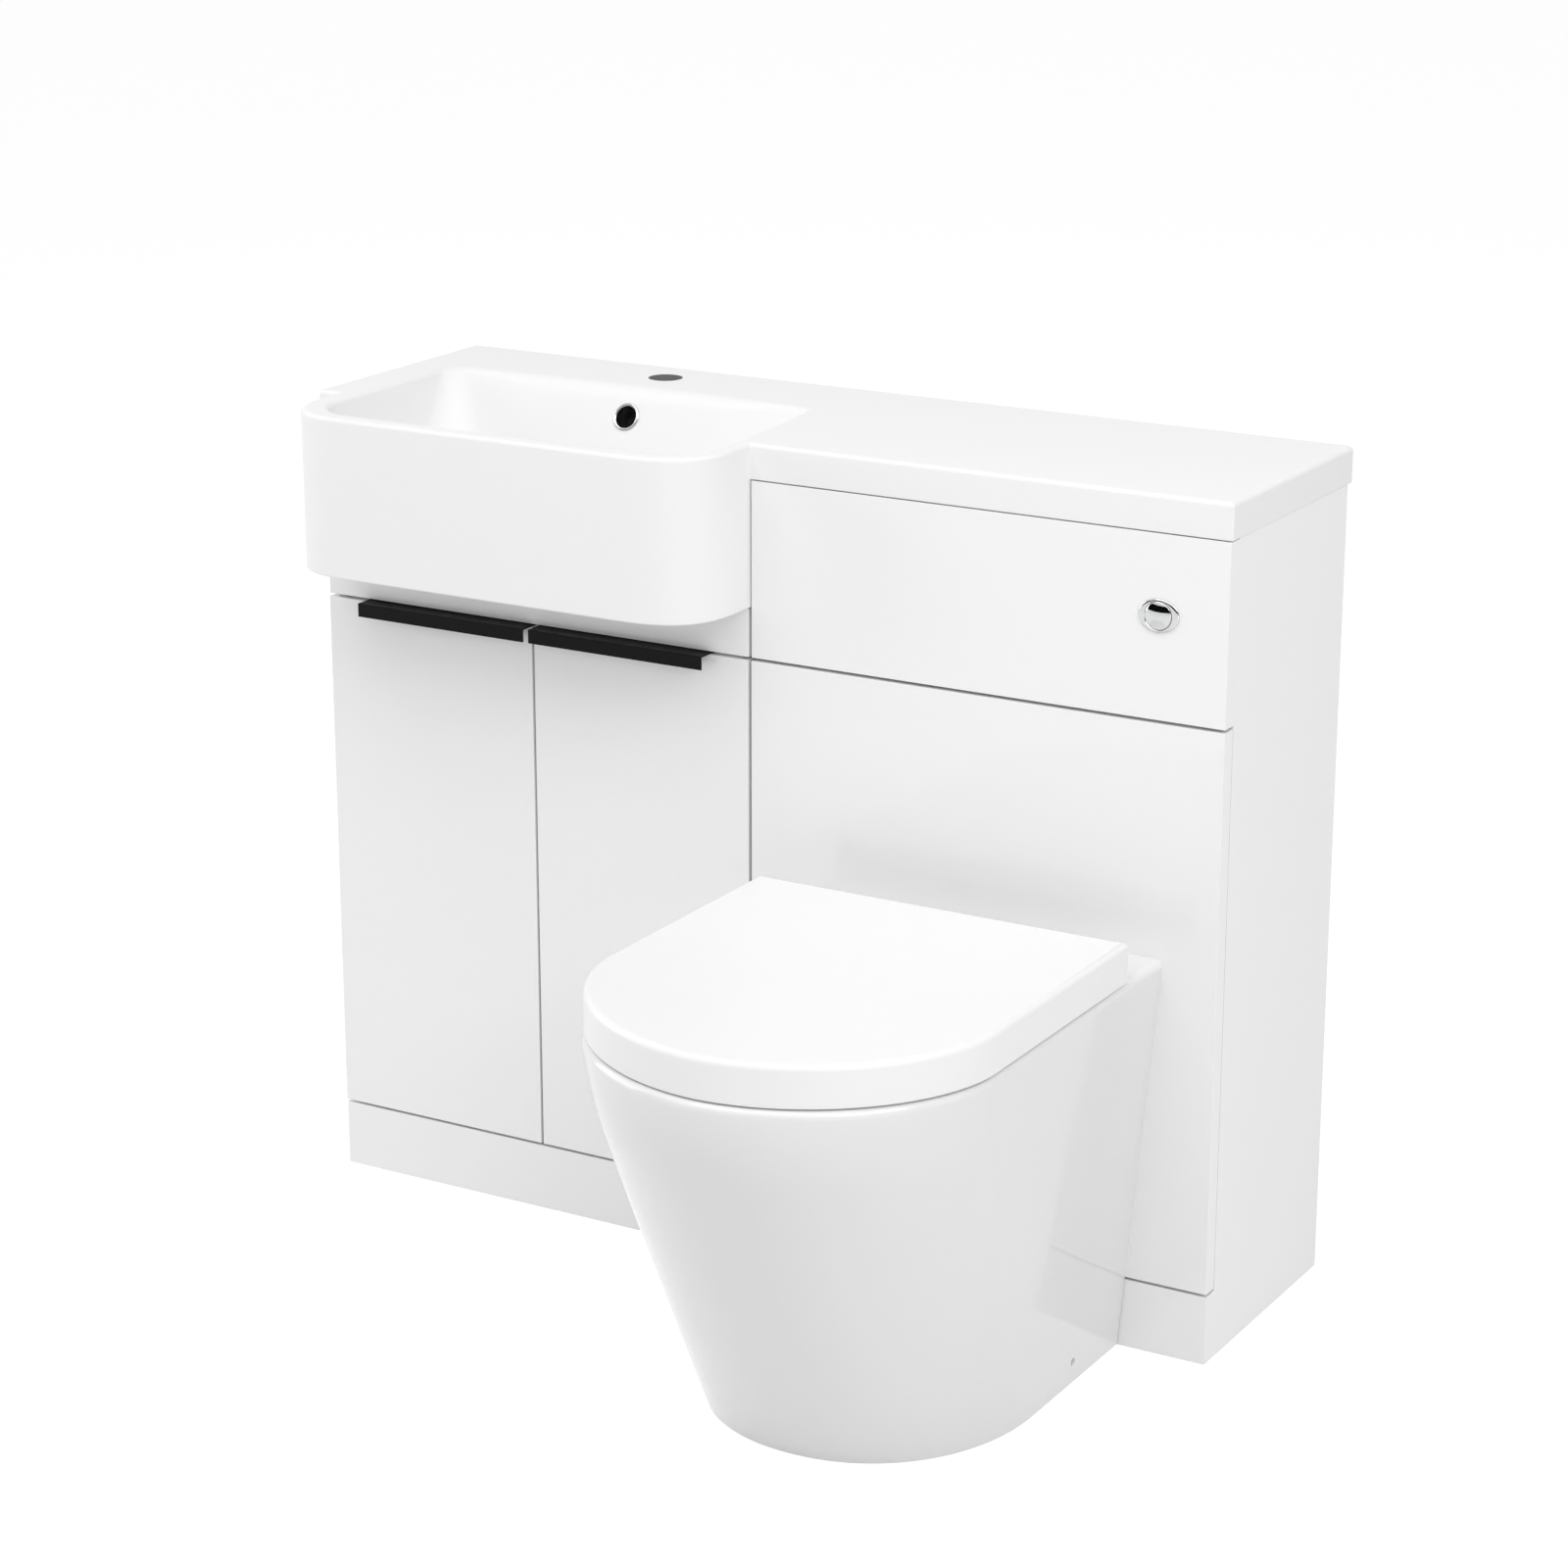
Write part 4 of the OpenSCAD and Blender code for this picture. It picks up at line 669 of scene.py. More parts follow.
def bowl_lip(basin):
    """Rings of the bowl's rounded rim: small at the front and sides, wide along the back."""
    side_lip, back_lip = basin.sizes.lip, basin.sizes.back_lip
    corner_lip = side_lip + (back_lip - side_lip) * CORNER_SHARE
    base = basin.bowl(0.0, 0.0)
    corner = BACK_STEPS + 1
    second = corner + BACK_POINTS
    x_left, x_right = base[second][0], base[corner - 1][0]
    rings = [[] for _ in range(LIP_STEPS + 1)]
    for i, (x, _) in enumerate(base):
        facing = 0.0
        if i < corner:
            facing = math.sin(math.radians(90 * i / BACK_STEPS))
        elif i < second:
            facing = 1.0
        elif i < second + corner:
            facing = math.cos(math.radians(90 * (i - second) / BACK_STEPS))
        if facing == 1.0:
            radius = ease(corner_lip, back_lip, min(x - x_left, x_right - x) / LIP_RUN)
        else:
            radius = side_lip + (corner_lip - side_lip) * facing
        open_angle = math.pi / 2 - math.atan(BOWL_DRAFT + BACK_DRAFT * facing)
        reach = radius * math.tan(open_angle / 2)
        for k, ring in enumerate(rings):
            turn = open_angle * k / LIP_STEPS
            depth = radius * (1 - math.cos(turn))
            inset = -reach + radius * math.sin(turn) - BACK_DRAFT * depth * facing
            ring.append((*basin.bowl(inset, depth)[i], basin.high.z - depth + SKIM))
    return rings


def bowl_profile(sizes):
    """Inset and depth down the bowl's wall and round to its floor."""
    radius = sizes.bowl_floor
    lean = math.atan(BOWL_DRAFT)
    floor = sizes.bowl_depth - sizes.fall
    knee = floor - radius * (1 - math.sin(lean))
    profile = [(knee * BOWL_DRAFT * s, knee * s) for s in (0.45, 0.7)]
    for i in range(FLOOR_STEPS + 1):
        a = lean + (math.pi / 2 - lean) * i / FLOOR_STEPS
        inset = knee * BOWL_DRAFT + radius * (math.cos(lean) - math.cos(a))
        profile.append((inset, floor - radius * (1 - math.sin(a))))
    return profile


def bowl_tool(basin):
    """What is cut out of the worktop: the bowl with its rim, falling floor and waste hole."""
    top, sizes = basin.high.z, basin.sizes
    rings = bowl_lip(basin)
    rings.insert(0, [(x, y, top + 5 * OVER) for x, y, _ in rings[0]])
    profile = bowl_profile(sizes)
    rings += [level(basin.bowl(inset, depth), top - depth) for inset, depth in profile]
    waste = Vector((sizes.tap, sizes.waste_back))
    radius = sizes.waste_hole / 2
    edge = basin.bowl(*profile[-1])
    spokes = [(Vector(p) - waste).normalized() for p in edge]
    round_edge = [waste + spoke * (radius + WASTE_LIP) for spoke in spokes]
    depth, bottom = profile[-1][1], sizes.bowl_depth
    for share in (0.2, 0.4, 0.6, 0.8, 1.0):
        ring = [Vector(p).lerp(q, share) for p, q in zip(edge, round_edge)]
        rings.append(level(ring, top - ease(depth, bottom, share)))
    for inset, drop in reversed(rounding(WASTE_LIP, 4)):
        ring = [waste + spoke * (radius + inset) for spoke in spokes]
        rings.append(level(ring, top - bottom - WASTE_LIP + drop))
    rings.append([(x, y, top - bottom - WASTE_CLEAR) for x, y, _ in rings[-1]])
    return loft("bowl", rings)


def tub_shell(basin):
    """The outside of the bowl under the slab."""
    top, wall = basin.high.z, basin.sizes.wall
    start = top - basin.slab_z - OVER
    deeper = [step for step in bowl_profile(basin.sizes) if step[1] > start]
    profile = [(start * BOWL_DRAFT, start)] + deeper
    rings = [level(basin.bowl(i - wall, d), top - d) for i, d in profile]
    inset, depth = profile[-1]
    rings.append(level(basin.bowl(inset - wall + TUB_CHAMFER, depth), top - depth - wall))
    return loft("tub", rings)


def overflow_axis(basin):
    """Where the overflow leaves the bowl's back wall, and its direction into the wall."""
    drop = basin.sizes.overflow_drop
    lean = math.atan(BOWL_DRAFT + BACK_DRAFT)
    y = basin.bowl_y[1] - drop * (BOWL_DRAFT + BACK_DRAFT)
    start = Vector((basin.sizes.tap, y, basin.high.z - drop))
    return start, Vector((0.0, math.cos(lean), -math.sin(lean)))


def raw_with_painted_shade(body, name, colour, bores):
    """Gives the inside of bores, each a start, direction, radius and reach, a raw casting finish,
    darkened as painted shade.
    """
    body.data.materials.append(moulded(name, colour, 0.7))
    inside = set()
    for vertex in body.data.vertices:
        for start, inward, radius, reach in bores:
            off = (vertex.co - DATUM) / MM - start
            along = off.dot(inward)
            near = (off - inward * along).length < radius + RAW_SHADE_AROUND
            if near and -RAW_SHADE_BEFORE < along < reach:
                inside.add(vertex.index)
    for face in body.data.polygons:
        if inside.issuperset(face.vertices):
            face.material_index = len(body.data.materials) - 1


class BATHROOM_OT_worktop(bpy.types.Operator):
    """Casts the basin worktop: slab, apron, bowl, tap hole, waste hole and overflow"""

    bl_idname = "bathroom.worktop"
    bl_label = "Basin worktop"

    def execute(self, context):
        sizes = lengths(context.scene.worktop_sizes)
        basin = Basin(sizes)
        top, slab_z, thick = basin.high.z, basin.slab_z, basin.high.z - basin.slab_z
        edge, wall, tap = sizes.edge, sizes.wall, sizes.tap

        rings = foot_edge(basin.slab, UNDER_EDGE, 1, slab_z)
        body = loft("worktop", rings + top_edge(basin.slab, edge, TOP_STEPS, top))
        rings = foot_edge(basin.apron, sizes.foot, 4, basin.low.z)
        apron = loft("apron", rings + top_edge(basin.apron, edge, TOP_STEPS, top))
        hollow = [level(basin.apron(wall, OVER), z) for z in (basin.low.z - OVER, slab_z)]
        cut(apron, loft("hollow", hollow))
        join(body, apron, tub_shell(basin))

        start, inward = overflow_axis(basin)
        waste_y, rib_back = sizes.waste_back, basin.bowl_y[1] + wall
        floor_z = top - sizes.bowl_depth - wall
        rib_low = (tap - RIB_HALF, waste_y, floor_z)
        join(body, block(rib_low, (tap + RIB_HALF, rib_back, slab_z + OVER)))
        cut(body, bowl_tool(basin))

        duct_y = rib_back - DUCT_IN
        low_end = (tap, duct_y, floor_z + wall / 2)
        passage = sizes.overflow_hole / 2
        cut(
            body,
            rod(start - inward * PASSAGE_OUT, start + inward * PASSAGE_IN, passage),
            rod(low_end, (tap, duct_y, start.z), DUCT, DUCT_STEPS),
            rod((tap, waste_y, low_end[2]), low_end, DUCT, DUCT_STEPS),
        )

        hole, tap_y = sizes.tap_hole / 2, sizes.tap_back
        rim = [(thick + SKIM - drop, hole + inset) for inset, drop in rounding(TAP_LIP, 4)]
        profile = [(-OVER, hole), (rim[0][0] - SKIM / 2, hole), *rim]
        profile.append((thick + TAP_CLEAR, hole + TAP_LIP))
        left, right = extent("wc_side_left")[1].x, extent("wc_side_right")[0].x
        cut(
            body,
            block(
                (tap - POCKET, tap_y - POCKET, slab_z - OVER),
                (tap + POCKET, tap_y + POCKET, top - SKIN),
            ),
            block(
                (left + POCKET_GAP, basin.back + POCKET_GAP, slab_z - OVER),
                (right - POCKET_GAP, extent("wc_back_rail")[0].y, top - SKIN),
            ),
            turned("tap", (tap, tap_y, slab_z), (0, 0, 1), profile),
        )
        stand_in(body, "basin_worktop")
        # The overflow's passage and duct and the tap hole's wall get a raw casting finish, darkened
        # as painted shade deep in the holes.
        colours = context.scene.unit_finishes
        down = Vector((0.0, 0.0, -1.0))
        duct_top = Vector((tap, duct_y, start.z + OVER))
        tap_top = Vector((tap, tap_y, top - TAP_LIP))
        bores = [(start, inward, passage, RAW_SHADE_REACH), (duct_top, down, DUCT, start.z - floor_z)]
        raw_with_painted_shade(body, "Raw overflow", colours.core, bores)
        raw_with_painted_shade(body, "Raw tap hole", colours.bore, [(tap_top, down, hole, SKIN)])
        return {"FINISHED"}


class BATHROOM_OT_overflow(bpy.types.Operator):
    """Turns the chrome overflow ring with its domed flange"""

    bl_idname = "bathroom.overflow"
    bl_label = "Overflow ring"

    def execute(self, context):
        sizes = lengths(context.scene.worktop_sizes)
        start, inward = overflow_axis(Basin(sizes))
        outer = sizes.overflow_ring / 2
        tube = sizes.overflow_hole / 2 - RING_PLAY
        bore = tube - RING_WALL
        middle, half = (outer + bore) / 2, (outer - bore) / 2
        profile = [(RING_DEPTH, bore)]
        for i in range(9):
            a = math.radians(180 * i / 8)
            profile.append((-RING_DOME * math.sin(a), middle - half * math.cos(a)))
        profile += [(0.0, tube), (RING_DEPTH, tube)]
        ring = turned("ring", start, inward, profile, closed=True)
        stand_in(ring, "overflow_ring")
        return {"FINISHED"}


# ---------------- cupboards and fittings


class BATHROOM_OT_cupboards(bpy.types.Operator):
    """Finishes the boards and fronts of both cupboards"""

    bl_idname = "bathroom.cupboards"
    bl_label = "Cupboards"

    def execute(self, context):
        boards = [node for node, slot in SLOT_OF.items() if slot == "gloss_board"]
        dress(boards, arris=0.4)
        return {"FINISHED"}


class BATHROOM_OT_handles(bpy.types.Operator):
    """Finishes the edge pull handles and their screws"""

    bl_idname = "bathroom.handles"
    bl_label = "Handles"

    def execute(self, context):
        dress([node for node, slot in SLOT_OF.items() if slot == "satin_black"], arris=0.35)
        return {"FINISHED"}


class BATHROOM_OT_fittings(bpy.types.Operator):
    """Finishes hinges, locks, screws, brackets, cistern, pipework and buffers"""

    bl_idname = "bathroom.fittings"
    bl_label = "Fittings"

    def execute(self, context):
        slots = ("steel", "fitting_plastic", "buffer", "rubber")
        nodes = [node for node, slot in SLOT_OF.items() if slot in slots]
        dress(nodes + ["pan_bracket_screws", "seat_hinge_posts"], arris=0.25)
        return {"FINISHED"}


# ---------------- pan

PAN_POWER = (2.11, 1.9)
PAN_SLOPE = 0.469
BOWL_POWER, BOWL_STEPS, BOWL_Y, BOWL_CLEAR = 2.1, 26, -335.0, 8.0
# The passage to the spigot, the flush water's inlet, and the holes for side screws and seat.
SUMP_Y = -262.0
SOIL_Z, SOIL_RADIUS, SOIL_BORE = 180.0, 51.0, 36.0
SPIGOT_START = -25.0
INLET_Z, INLET_RADIUS, INLET_DEEP = 330.0, 27.5, 40.0
INLET_WALL, INLET_NECK = 7.0, 0.7
# How much thinner than the skirt the hidden walls are.
THINNER = 2.0
FIXING_Y, FIXING_Z, FIXING_RADIUS = -101.0, 24.0, 4.0
BOLT_RADIUS = 8.0


class Pan:
    """The pan's outlines, at any height and inset."""

    def __init__(self, sizes):
        low, high = extent("toilet_pan")
        self.x = (low.x + high.x) / 2
        self.height = high.z
        self.edge, self.turn = sizes.edge, sizes.turn
        self.foot_half, self.rim_half = sizes.foot_width / 2, sizes.rim_width / 2
        self.foot_front, self.nose = sizes.foot_front, sizes.nose
        self.knee = self.height - self.edge - self.turn
        self.reach = PAN_SLOPE * (self.height - self.edge - self.turn / 2)

    def forward(self, z):
        """How far the front has come forward of the foot at a height."""
        over = min(max(z - self.knee, 0.0), self.turn)
        slope_end = min(z, self.height - self.edge)
        return PAN_SLOPE * (slope_end - over * over / (2 * self.turn))

    def outline(self, z, inset=0.0, back=0.0):
        half = self.foot_half + (self.rim_half - self.foot_half) * z / self.height - inset
        share = self.forward(z) / self.reach
        power = PAN_POWER[0] + (PAN_POWER[1] - PAN_POWER[0]) * share
        centre = (self.x, self.nose - self.foot_front - self.forward(z))
        sides = [(self.x + half, back), (self.x - half, back)]
        return sides + power_arc(centre, half, self.nose - inset, power, 180, 360, NOSE_STEPS)


def pan_bowl_rows(pan, sizes):
    """Height, half width, half length and centre of the pan's bowl, from sump to rim."""
    half = pan.rim_half - sizes.rim - BOWL_CLEAR
    top = pan.height
    return [
        (142.0, 32.0, 32.0, SUMP_Y),
        (154.0, 40.0, 40.0, SUMP_Y),
        (197.0, 50.0, 58.0, SUMP_Y - 8),
        (top - 130, half * 0.78, half * 0.84, -309.0),
        (top - 75, half * 0.94, half * 0.98, -327.0),
        (top - 20, half, half * 1.04, BOWL_Y),
    ]


def pan_bowl(pan, sizes, grow, top, lip=0.0):
    """The pan's bowl as a solid, grown by some mm, with a flared lip at the top."""
    rows = pan_bowl_rows(pan, sizes)
    bottom, last = rows[0][0], min(rows[-1][0], top - OVER)

    def outline(row, flare=0.0):
        across, along, y = row
        more = grow + flare
        return closed_power((pan.x, y), across + more, along + more, BOWL_POWER, FINE)

    rings = [level(outline(through(rows, bottom)), bottom - grow)]
    for i in range(1, BOWL_STEPS + 1):
        z = bottom + (last - bottom) * i / BOWL_STEPS
        rings.append(level(outline(through(rows, z)), z))
    if lip:
        rings += top_edge(lambda flare: outline(rows[-1][1:], flare), lip, 8, pan.height + SKIM)
    rings.append([(x, y, top) for x, y, _ in rings[-1]])
    return loft("pan bowl", rings)


class BATHROOM_OT_pan(bpy.types.Operator):
    """Casts the toilet pan: skirt, rim, bowl, outlet, inlet and fixing holes"""

    bl_idname = "bathroom.pan"
    bl_label = "Toilet pan"

    def execute(self, context):
        sizes = lengths(context.scene.pan_sizes)
        pan = Pan(sizes)
        wall, deck_z = sizes.wall, pan.height - sizes.deck
        spigot = extent("toilet_pan")[1].y

        def pipe(start, end, z, radius):
            return rod((pan.x, start, z), (pan.x, end, z), radius)

        rings = foot_edge(lambda inset: pan.outline(0, inset), sizes.foot, 3, 0.0)
        rings += [level(pan.outline(pan.knee * s), pan.knee * s) for s in (0.2, 0.4, 0.6, 0.8, 1)]
        turn = [pan.knee + pan.turn * (i + 1) / 12 for i in range(12)]
        rings += [level(pan.outline(z), z) for z in turn]
        rim_z = pan.height - pan.edge
        rings += top_edge(lambda inset: pan.outline(rim_z, inset), pan.edge, 8, pan.height)[1:]
        body = loft("pan", rings)

        heights = [-OVER] + [deck_z * s for s in (0.25, 0.5, 0.7, 0.85, 1.0)]
        inside = loft("inside", [level(pan.outline(max(z, 0), wall, OVER), z) for z in heights])
        cut(
            inside,
            pan_bowl(pan, sizes, wall - THINNER, deck_z + OVER),
            pipe(SUMP_Y, 2 * OVER, SOIL_Z, SOIL_RADIUS - THINNER),
            pipe(BOWL_Y, 2 * OVER, INLET_Z, INLET_RADIUS + INLET_WALL),
        )
        cut(body, inside)
        join(body, pipe(SPIGOT_START, spigot, SOIL_Z, SOIL_RADIUS))
        cut(
            body,
            pan_bowl(pan, sizes, 0.0, pan.height + 5 * OVER, sizes.lip),
            pipe(SUMP_Y, spigot + OVER, SOIL_Z, SOIL_BORE),
            pipe(-INLET_DEEP, OVER, INLET_Z, INLET_RADIUS),
            pipe(BOWL_Y, OVER, INLET_Z, INLET_RADIUS * INLET_NECK),
        )
        bolts = extent("seat_bolts")
        bolt_y = (bolts[0].y + bolts[1].y) / 2
        spread = lengths(context.scene.seat_sizes).fixings / 2
        near, far = pan.foot_half - 2 * wall, pan.foot_half + wall
        for side in (-1, 1):
            x = pan.x + side * spread
            low, high = (x, bolt_y, deck_z - OVER), (x, bolt_y, pan.height + OVER)
            cut(body, rod(low, high, BOLT_RADIUS, COARSE))
            ends = [(pan.x + side * reach, FIXING_Y, FIXING_Z) for reach in (near, far)]
            cut(body, rod(*ends, FIXING_RADIUS, COARSE))
        stand_in(body, "toilet_pan")
        return {"FINISHED"}


# ---------------- seat and lid

LID_POWER = 1.88
HINGE_RADIUS, PIN_BORE = 9.5, 4.05
EAR_WIDTH, POST_WIDTH, EAR_GAP, EAR_ROOM = 13.0, 16.0, 1.0, 2.5
# How far the webs of the hinge ears reach past the axis into the lid and the seat.
LID_WEB, SEAT_WEB, SEAT_WEB_RISE = 2.0, 12.0, 3.0
# Roundings of the lid's skirt, under the seat, and round the seat's opening.
SKIRT_EDGE, SEAT_FOOT, SEAT_LIP = 1.6, 2.0, 9.0
OPENING_STRETCH = 0.12
BUFFER_GAP = 0.1


class Seat:
    """The outlines and hinge places of the seat and its lid."""

    def __init__(self, sizes):
        low, high = extent("seat_lid")
        self.x = (low.x + high.x) / 2
        self.half = (high.x - low.x) / 2
        self.low, self.high = low, high
        self.front, self.nose = low.y, sizes.nose
        pins = extent("seat_hinge_pins")
        self.axis = (pins[0] + pins[1]) / 2
        self.spread = sizes.fixings / 2

    def outline(self, inset, back):
        sides = [(self.x + s * (self.half - inset - 1), back) for s in (1, -1)]
        centre = (self.x, self.front + self.nose)
        across, along = self.half - inset, self.nose - inset
        return sides + power_arc(centre, across, along, LID_POWER, 180, 360, NOSE_STEPS)

    def places(self, outside):
        """Where the ears stand along the pins, outside or inside the posts."""
        off = (POST_WIDTH + EAR_WIDTH) / 2 + EAR_GAP
        reach = self.spread + (off if outside else -off)
        return self.x - reach, self.x + reach

    def ears(self, outside, near, far):
        """Hinge ears: an eye with a web, whose corners are given from the axis."""
        y, z, half = self.axis.y, self.axis.z, EAR_WIDTH / 2
        tools = []
        for x in self.places(outside):
            tools.append(rod((x - half, y, z), (x + half, y, z), HINGE_RADIUS, MEDIUM))
            low, high = (x - half, y + near[0], z + near[1]), (x + half, y + far[0], z + far[1])
            tools.append(block(low, high))
        return tools

    def bores(self, outside):
        """Bores for the pins, through the ears."""
        y, z = self.axis.y, self.axis.z
        return [
            rod((x - EAR_WIDTH, y, z), (x + EAR_WIDTH, y, z), PIN_BORE, MEDIUM)
            for x in self.places(outside)
        ]


class BATHROOM_OT_lid(bpy.types.Operator):
    """Presses the seat lid: a shell with a soft top edge, skirt and hinge ears"""

    bl_idname = "bathroom.lid"
    bl_label = "Seat lid"

    def execute(self, context):
        sizes = lengths(context.scene.seat_sizes)
        seat = Seat(sizes)
        bottom, top, back = seat.low.z, seat.high.z, seat.high.y
        edge, wall = sizes.edge, sizes.wall
        inner_z = top - sizes.top

        def outside(inset):
            return seat.outline(inset, back - inset)

        def inside(inset):
            return seat.outline(wall + inset, back + OVER)

        rings = foot_edge(outside, SKIRT_EDGE, 3, bottom) + top_edge(outside, edge, 8, top)
        body = loft("lid", rings)
        rings = [level(inside(0.0), bottom - OVER)] + top_edge(inside, edge - wall / 2, 5, inner_z)
        cut(body, loft("hollow", rings))
        web_top = inner_z - seat.axis.z + OVER
        join(body, *seat.ears(True, (-HINGE_RADIUS, 0.0), (LID_WEB, web_top)))
        cut(body, *seat.bores(True))
        stand_in(body, "seat_lid", "lid")
        return {"FINISHED"}


class BATHROOM_OT_seat(bpy.types.Operator):
    """Presses the seat ring with its soft edges, opening and hinge ears"""

    bl_idname = "bathroom.seat"
    bl_label = "Seat ring"

    def execute(self, context):
        sizes = lengths(context.scene.seat_sizes)
        seat = Seat(sizes)
        bottom = extent("seat_buffers")[1].z
        top = extent("lid_buffers")[0].z - BUFFER_GAP
        margin = extent("seat_ring")[0].x - seat.low.x
        back = seat.axis.y - HINGE_RADIUS - EAR_ROOM
        half = seat.half - margin - sizes.ring

        def outside(inset):
            return seat.outline(margin + inset, back - inset)

        def opening(flare):
            r = half + flare
            return closed_power((seat.x, BOWL_Y), r, r + half * OPENING_STRETCH, BOWL_POWER, FINE)

        rings = foot_edge(outside, SEAT_FOOT, 3, bottom)
        body = loft("seat", rings + top_edge(outside, sizes.ring_edge, 8, top))
        rings = [level(opening(SEAT_FOOT), bottom - 2 * OVER)]
        rings += foot_edge(opening, SEAT_FOOT, 3, bottom - SKIM)
        rings += top_edge(opening, SEAT_LIP, 8, top + SKIM)
        rings.append(level(opening(SEAT_LIP), top + 3 * OVER))
        cut(body, loft("opening", rings))
        web = (-HINGE_RADIUS - SEAT_WEB, -HINGE_RADIUS), (0.0, SEAT_WEB_RISE)
        join(body, *seat.ears(False, *web))
        cut(body, *seat.bores(False))
        stand_in(body, "seat_ring", "seat")
        return {"FINISHED"}


# ---------------- push button

BUTTON_GAP, BUTTON_EDGE, BUTTON_ARRIS = 0.3, 0.5, (0.25, 0.12)
# The share of the bezel's height that stands upright, and the rounding at its bore.
BEZEL_UPRIGHT, BEZEL_LIP = 0.3, 0.5


class BATHROOM_OT_button(bpy.types.Operator):
    """Turns the domed flush button and the oval bezel round it"""

    bl_idname = "bathroom.button"
    bl_label = "Flush button"

    def execute(self, context):
        low, high = extent("button_bezel")
        middle = (low + high) / 2
        half_w, half_h = (high.x - low.x) / 2, (high.z - low.z) / 2
        face, front = high.y, low.y
        button_low, button_high = extent("flush_button")
        radius = (button_high.x - button_low.x) / 2
        bore = radius + BUTTON_GAP
        lip = bore + BEZEL_LIP

        def oval(across, up, y):
            outline = closed_power((middle.x, middle.z), across, up, 2.0, FINE)
            return [(x, y, z) for x, z in outline]

        height = face - front
        side_y = face - BEZEL_UPRIGHT * height
        rings = [oval(half_w, half_h, face), oval(half_w, half_h, side_y)]
        for i in range(1, 9):
            a = math.radians(90 * i / 8)
            share = 1 - math.cos(a)
            y = face - height * (BEZEL_UPRIGHT + (1 - BEZEL_UPRIGHT) * math.sin(a))
            rings.append(oval(half_w + (lip - half_w) * share, half_h + (lip - half_h) * share, y))
        rings += [oval(bore, bore, front + BEZEL_LIP), oval(bore, bore, face)]
        stand_in(loft("bezel", rings, closed=True), "button_bezel")

        dome = front - button_low.y
        depth = button_high.y - button_low.y
        curve = (radius * radius + dome * dome) / (2 * dome)
        profile = []
        for i in range(1, 13):
            r = (radius - BUTTON_EDGE) * i / 12
            profile.append((curve - math.sqrt(curve * curve - r * r), r))
        rim = profile[-1][0] + BUTTON_EDGE
        profile.append((rim - BUTTON_ARRIS[0], radius - BUTTON_ARRIS[1]))
        profile += [(rim, radius), (depth, radius)]
        centre = (middle.x, button_low.y, middle.z)
        stand_in(turned("button", centre, (0, 1, 0), profile, FINE), "flush_button", "flush_button")
        return {"FINISHED"}


# ---------------- stage

CAMERA_PLACE = (2388.66, -3179.1, 1640.87)
CAMERA_TURN = (72.86, 0.0, 30.19)
CAMERA_LENS, SENSOR, CAMERA_FAR = 91.28, 36.0, 200.0
FLOOR_SIZE = 60.0
FLOOR_PALE, FLOOR_SHADED, FLOOR_GLOW = 0.8, 0.25, 0.855
FLAG_MIDDLE, FLAG_FAR, FLAG_HEIGHTS = (500, 0), 7000.0, (760.0, 3600.0)
FLAG_BLACK = 0.01
LAMP_AIM = (500, -100, 450)
LAMPS = {
    "front": ((500, -1700, 3700), (3.6, 2.4)),
    "left": ((-3400, -900, 1500), (2.6, 2.2)),
    "right": ((3600, -1600, 3400), (2.6, 2.2)),
    "low": ((2600, -1500, 600), (1.6, 1.0)),
}


def grey(value):
    return (value, value, value, 1.0)


def white_world(light):
    """An even sky that lights the object, and looks plain white."""
    world = bpy.data.worlds.new("Studio")
    bpy.context.scene.world = world
    nodes = Nodes(world)
    lit = nodes.add("Background", {}, {"Color": grey(1.0), "Strength": light.sky})
    white = nodes.add("Background", {}, {"Color": grey(1.0), "Strength": 1.0})
    nodes.show("World Output", nodes.add("MixShader", {}, {0: nodes.seen(), 1: lit, 2: white}))


def sheet(name, points, faces, finish):
    """A thin stage piece, and the nodes of its new material."""
    mesh = bpy.data.meshes.new(name)
    mesh.from_pydata(points, [], faces)
    material = bpy.data.materials.new(finish)
    mesh.materials.append(material)
    return put(name, mesh), Nodes(material)


def pale_floor():
    """A wide pale floor that looks white away from the object and keeps its shadow."""
    half = FLOOR_SIZE / 2
    corners = [(-half, -half, 0), (half, -half, 0), (half, half, 0), (-half, half, 0)]
    floor, nodes = sheet("floor", corners, [(0, 1, 2, 3)], "Pale floor")
    pale = nodes.add("BsdfDiffuse", {}, {"Color": grey(FLOOR_PALE)})
    shaded = nodes.add("BsdfDiffuse", {}, {"Color": grey(FLOOR_SHADED)})
    glow = nodes.add("Emission", {}, {"Color": grey(1.0), "Strength": FLOOR_GLOW})
    seen = nodes.add("AddShader", {}, {0: shaded, 1: glow})
    nodes.show("Material Output", nodes.add("MixShader", {}, {0: nodes.seen(), 1: pale, 2: seen}))


def dark_flag():
    """A tall black screen far in front, which only shows in reflections."""
    points = arc(FLAG_MIDDLE, FLAG_FAR, 180, 360, 36)
    count = len(points)
    faces = [(i, i + 1, count + i + 1, count + i) for i in range(count - 1)]
    corners = [place((x, y, z)) for z in FLAG_HEIGHTS for x, y in points]
    flag, nodes = sheet("flag", corners, faces, "Black flag")
    black = nodes.add("BsdfDiffuse", {}, {"Color": grey(FLAG_BLACK)})
    nodes.show("Material Output", black)
    flag.visible_camera = flag.visible_diffuse = flag.visible_shadow = False


def soft_light(name, spot, size, power):
    """A large soft lamp at a point, turned towards the unit."""
    lamp = bpy.data.lights.new(name, "AREA")
    lamp.shape = "RECTANGLE"
    lamp.size, lamp.size_y = size
    lamp.energy = power
    holder = put(name, lamp)
    holder.location = place(spot)
    holder.rotation_mode = "QUATERNION"
    holder.rotation_quaternion = (place(LAMP_AIM) - place(spot)).to_track_quat("-Z", "Y")


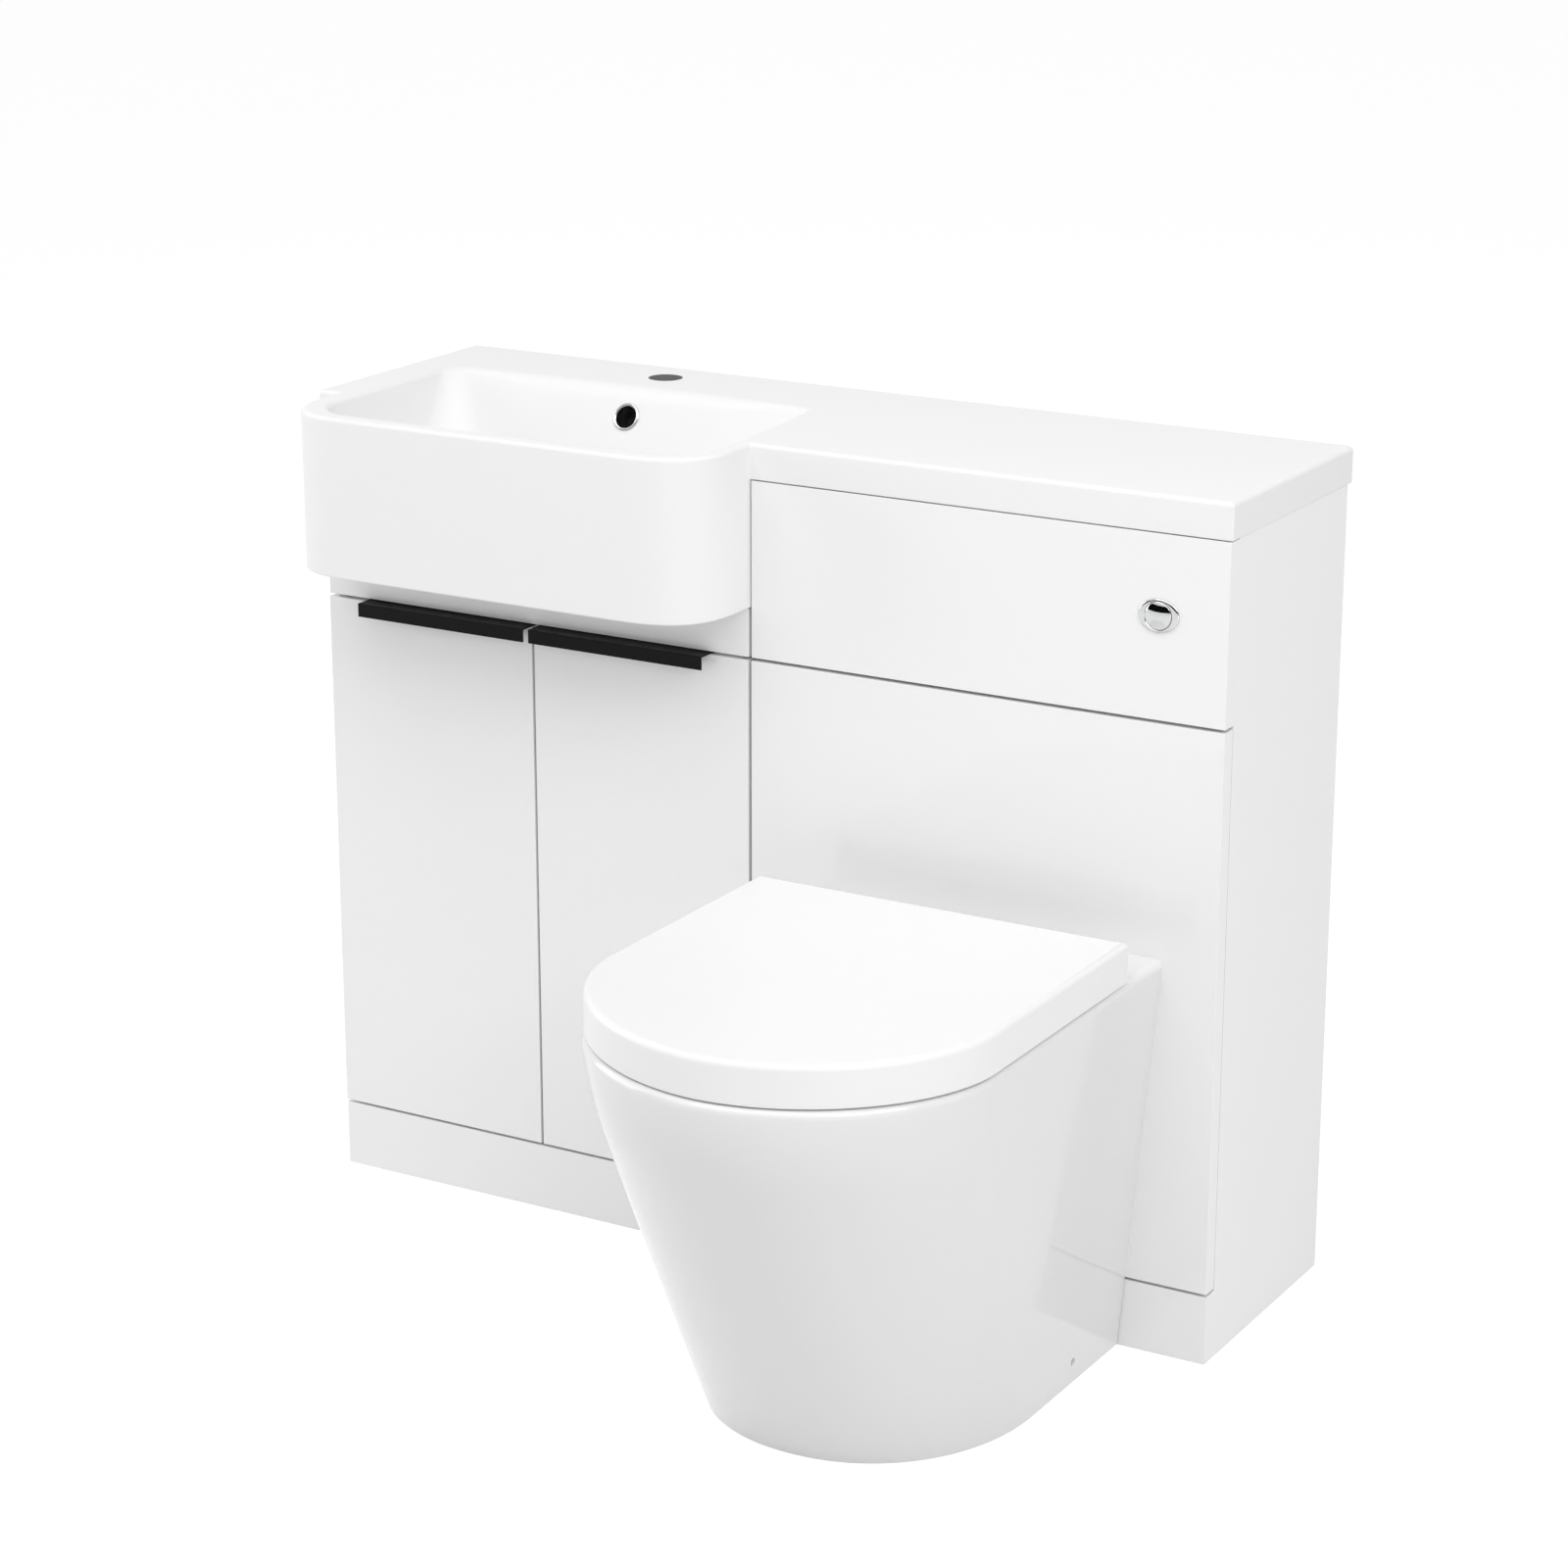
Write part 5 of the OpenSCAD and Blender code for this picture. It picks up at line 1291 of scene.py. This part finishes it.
class BATHROOM_OT_stage(bpy.types.Operator):
    """Sets up the camera, the soft lights and the white studio"""

    bl_idname = "bathroom.stage"
    bl_label = "Stage"

    def execute(self, context):
        scene = context.scene
        scene.view_settings.view_transform = "Standard"
        light = scene.studio_light
        white_world(light)
        pale_floor()
        dark_flag()
        for name, (spot, size) in LAMPS.items():
            soft_light(name, spot, size, getattr(light, name))

        camera = bpy.data.cameras.new("Camera")
        camera.lens, camera.sensor_width = CAMERA_LENS, SENSOR
        camera.clip_end = CAMERA_FAR
        scene.camera = put("Camera", camera)
        scene.camera.location = place(CAMERA_PLACE)
        scene.camera.rotation_euler = [math.radians(turn) for turn in CAMERA_TURN]
        return {"FINISHED"}


# ---------------- add-on

OPERATORS = (
    BATHROOM_OT_worktop,
    BATHROOM_OT_overflow,
    BATHROOM_OT_cupboards,
    BATHROOM_OT_handles,
    BATHROOM_OT_fittings,
    BATHROOM_OT_pan,
    BATHROOM_OT_seat,
    BATHROOM_OT_lid,
    BATHROOM_OT_button,
    BATHROOM_OT_stage,
)
GROUPS = {
    "worktop_sizes": WorktopSizes,
    "pan_sizes": PanSizes,
    "seat_sizes": SeatSizes,
    "unit_finishes": UnitFinishes,
    "studio_light": StudioLight,
}


class BATHROOM_PT_panel(bpy.types.Panel):
    """Lists the steps that build the unit"""

    bl_label = "Combination unit"
    bl_space_type = "VIEW_3D"
    bl_region_type = "UI"
    bl_category = "Bathroom"

    def draw(self, context):
        for operator in OPERATORS:
            self.layout.operator(operator.bl_idname)
        for name, group in GROUPS.items():
            column = self.layout.box().column()
            for prop in group.__annotations__:
                column.prop(getattr(context.scene, name), prop)


CLASSES = (*GROUPS.values(), *OPERATORS, BATHROOM_PT_panel)


def register():
    for cls in CLASSES:
        bpy.utils.register_class(cls)
    for name, group in GROUPS.items():
        setattr(bpy.types.Scene, name, PointerProperty(type=group))


def unregister():
    for name in GROUPS:
        delattr(bpy.types.Scene, name)
    for cls in reversed(CLASSES):
        bpy.utils.unregister_class(cls)


def main():
    register()
    bpy.ops.bathroom.worktop()
    bpy.ops.bathroom.overflow()
    bpy.ops.bathroom.cupboards()
    bpy.ops.bathroom.handles()
    bpy.ops.bathroom.fittings()
    bpy.ops.bathroom.pan()
    bpy.ops.bathroom.seat()
    bpy.ops.bathroom.lid()
    bpy.ops.bathroom.button()
    bpy.ops.bathroom.stage()


if __name__ == "__main__":
    main()
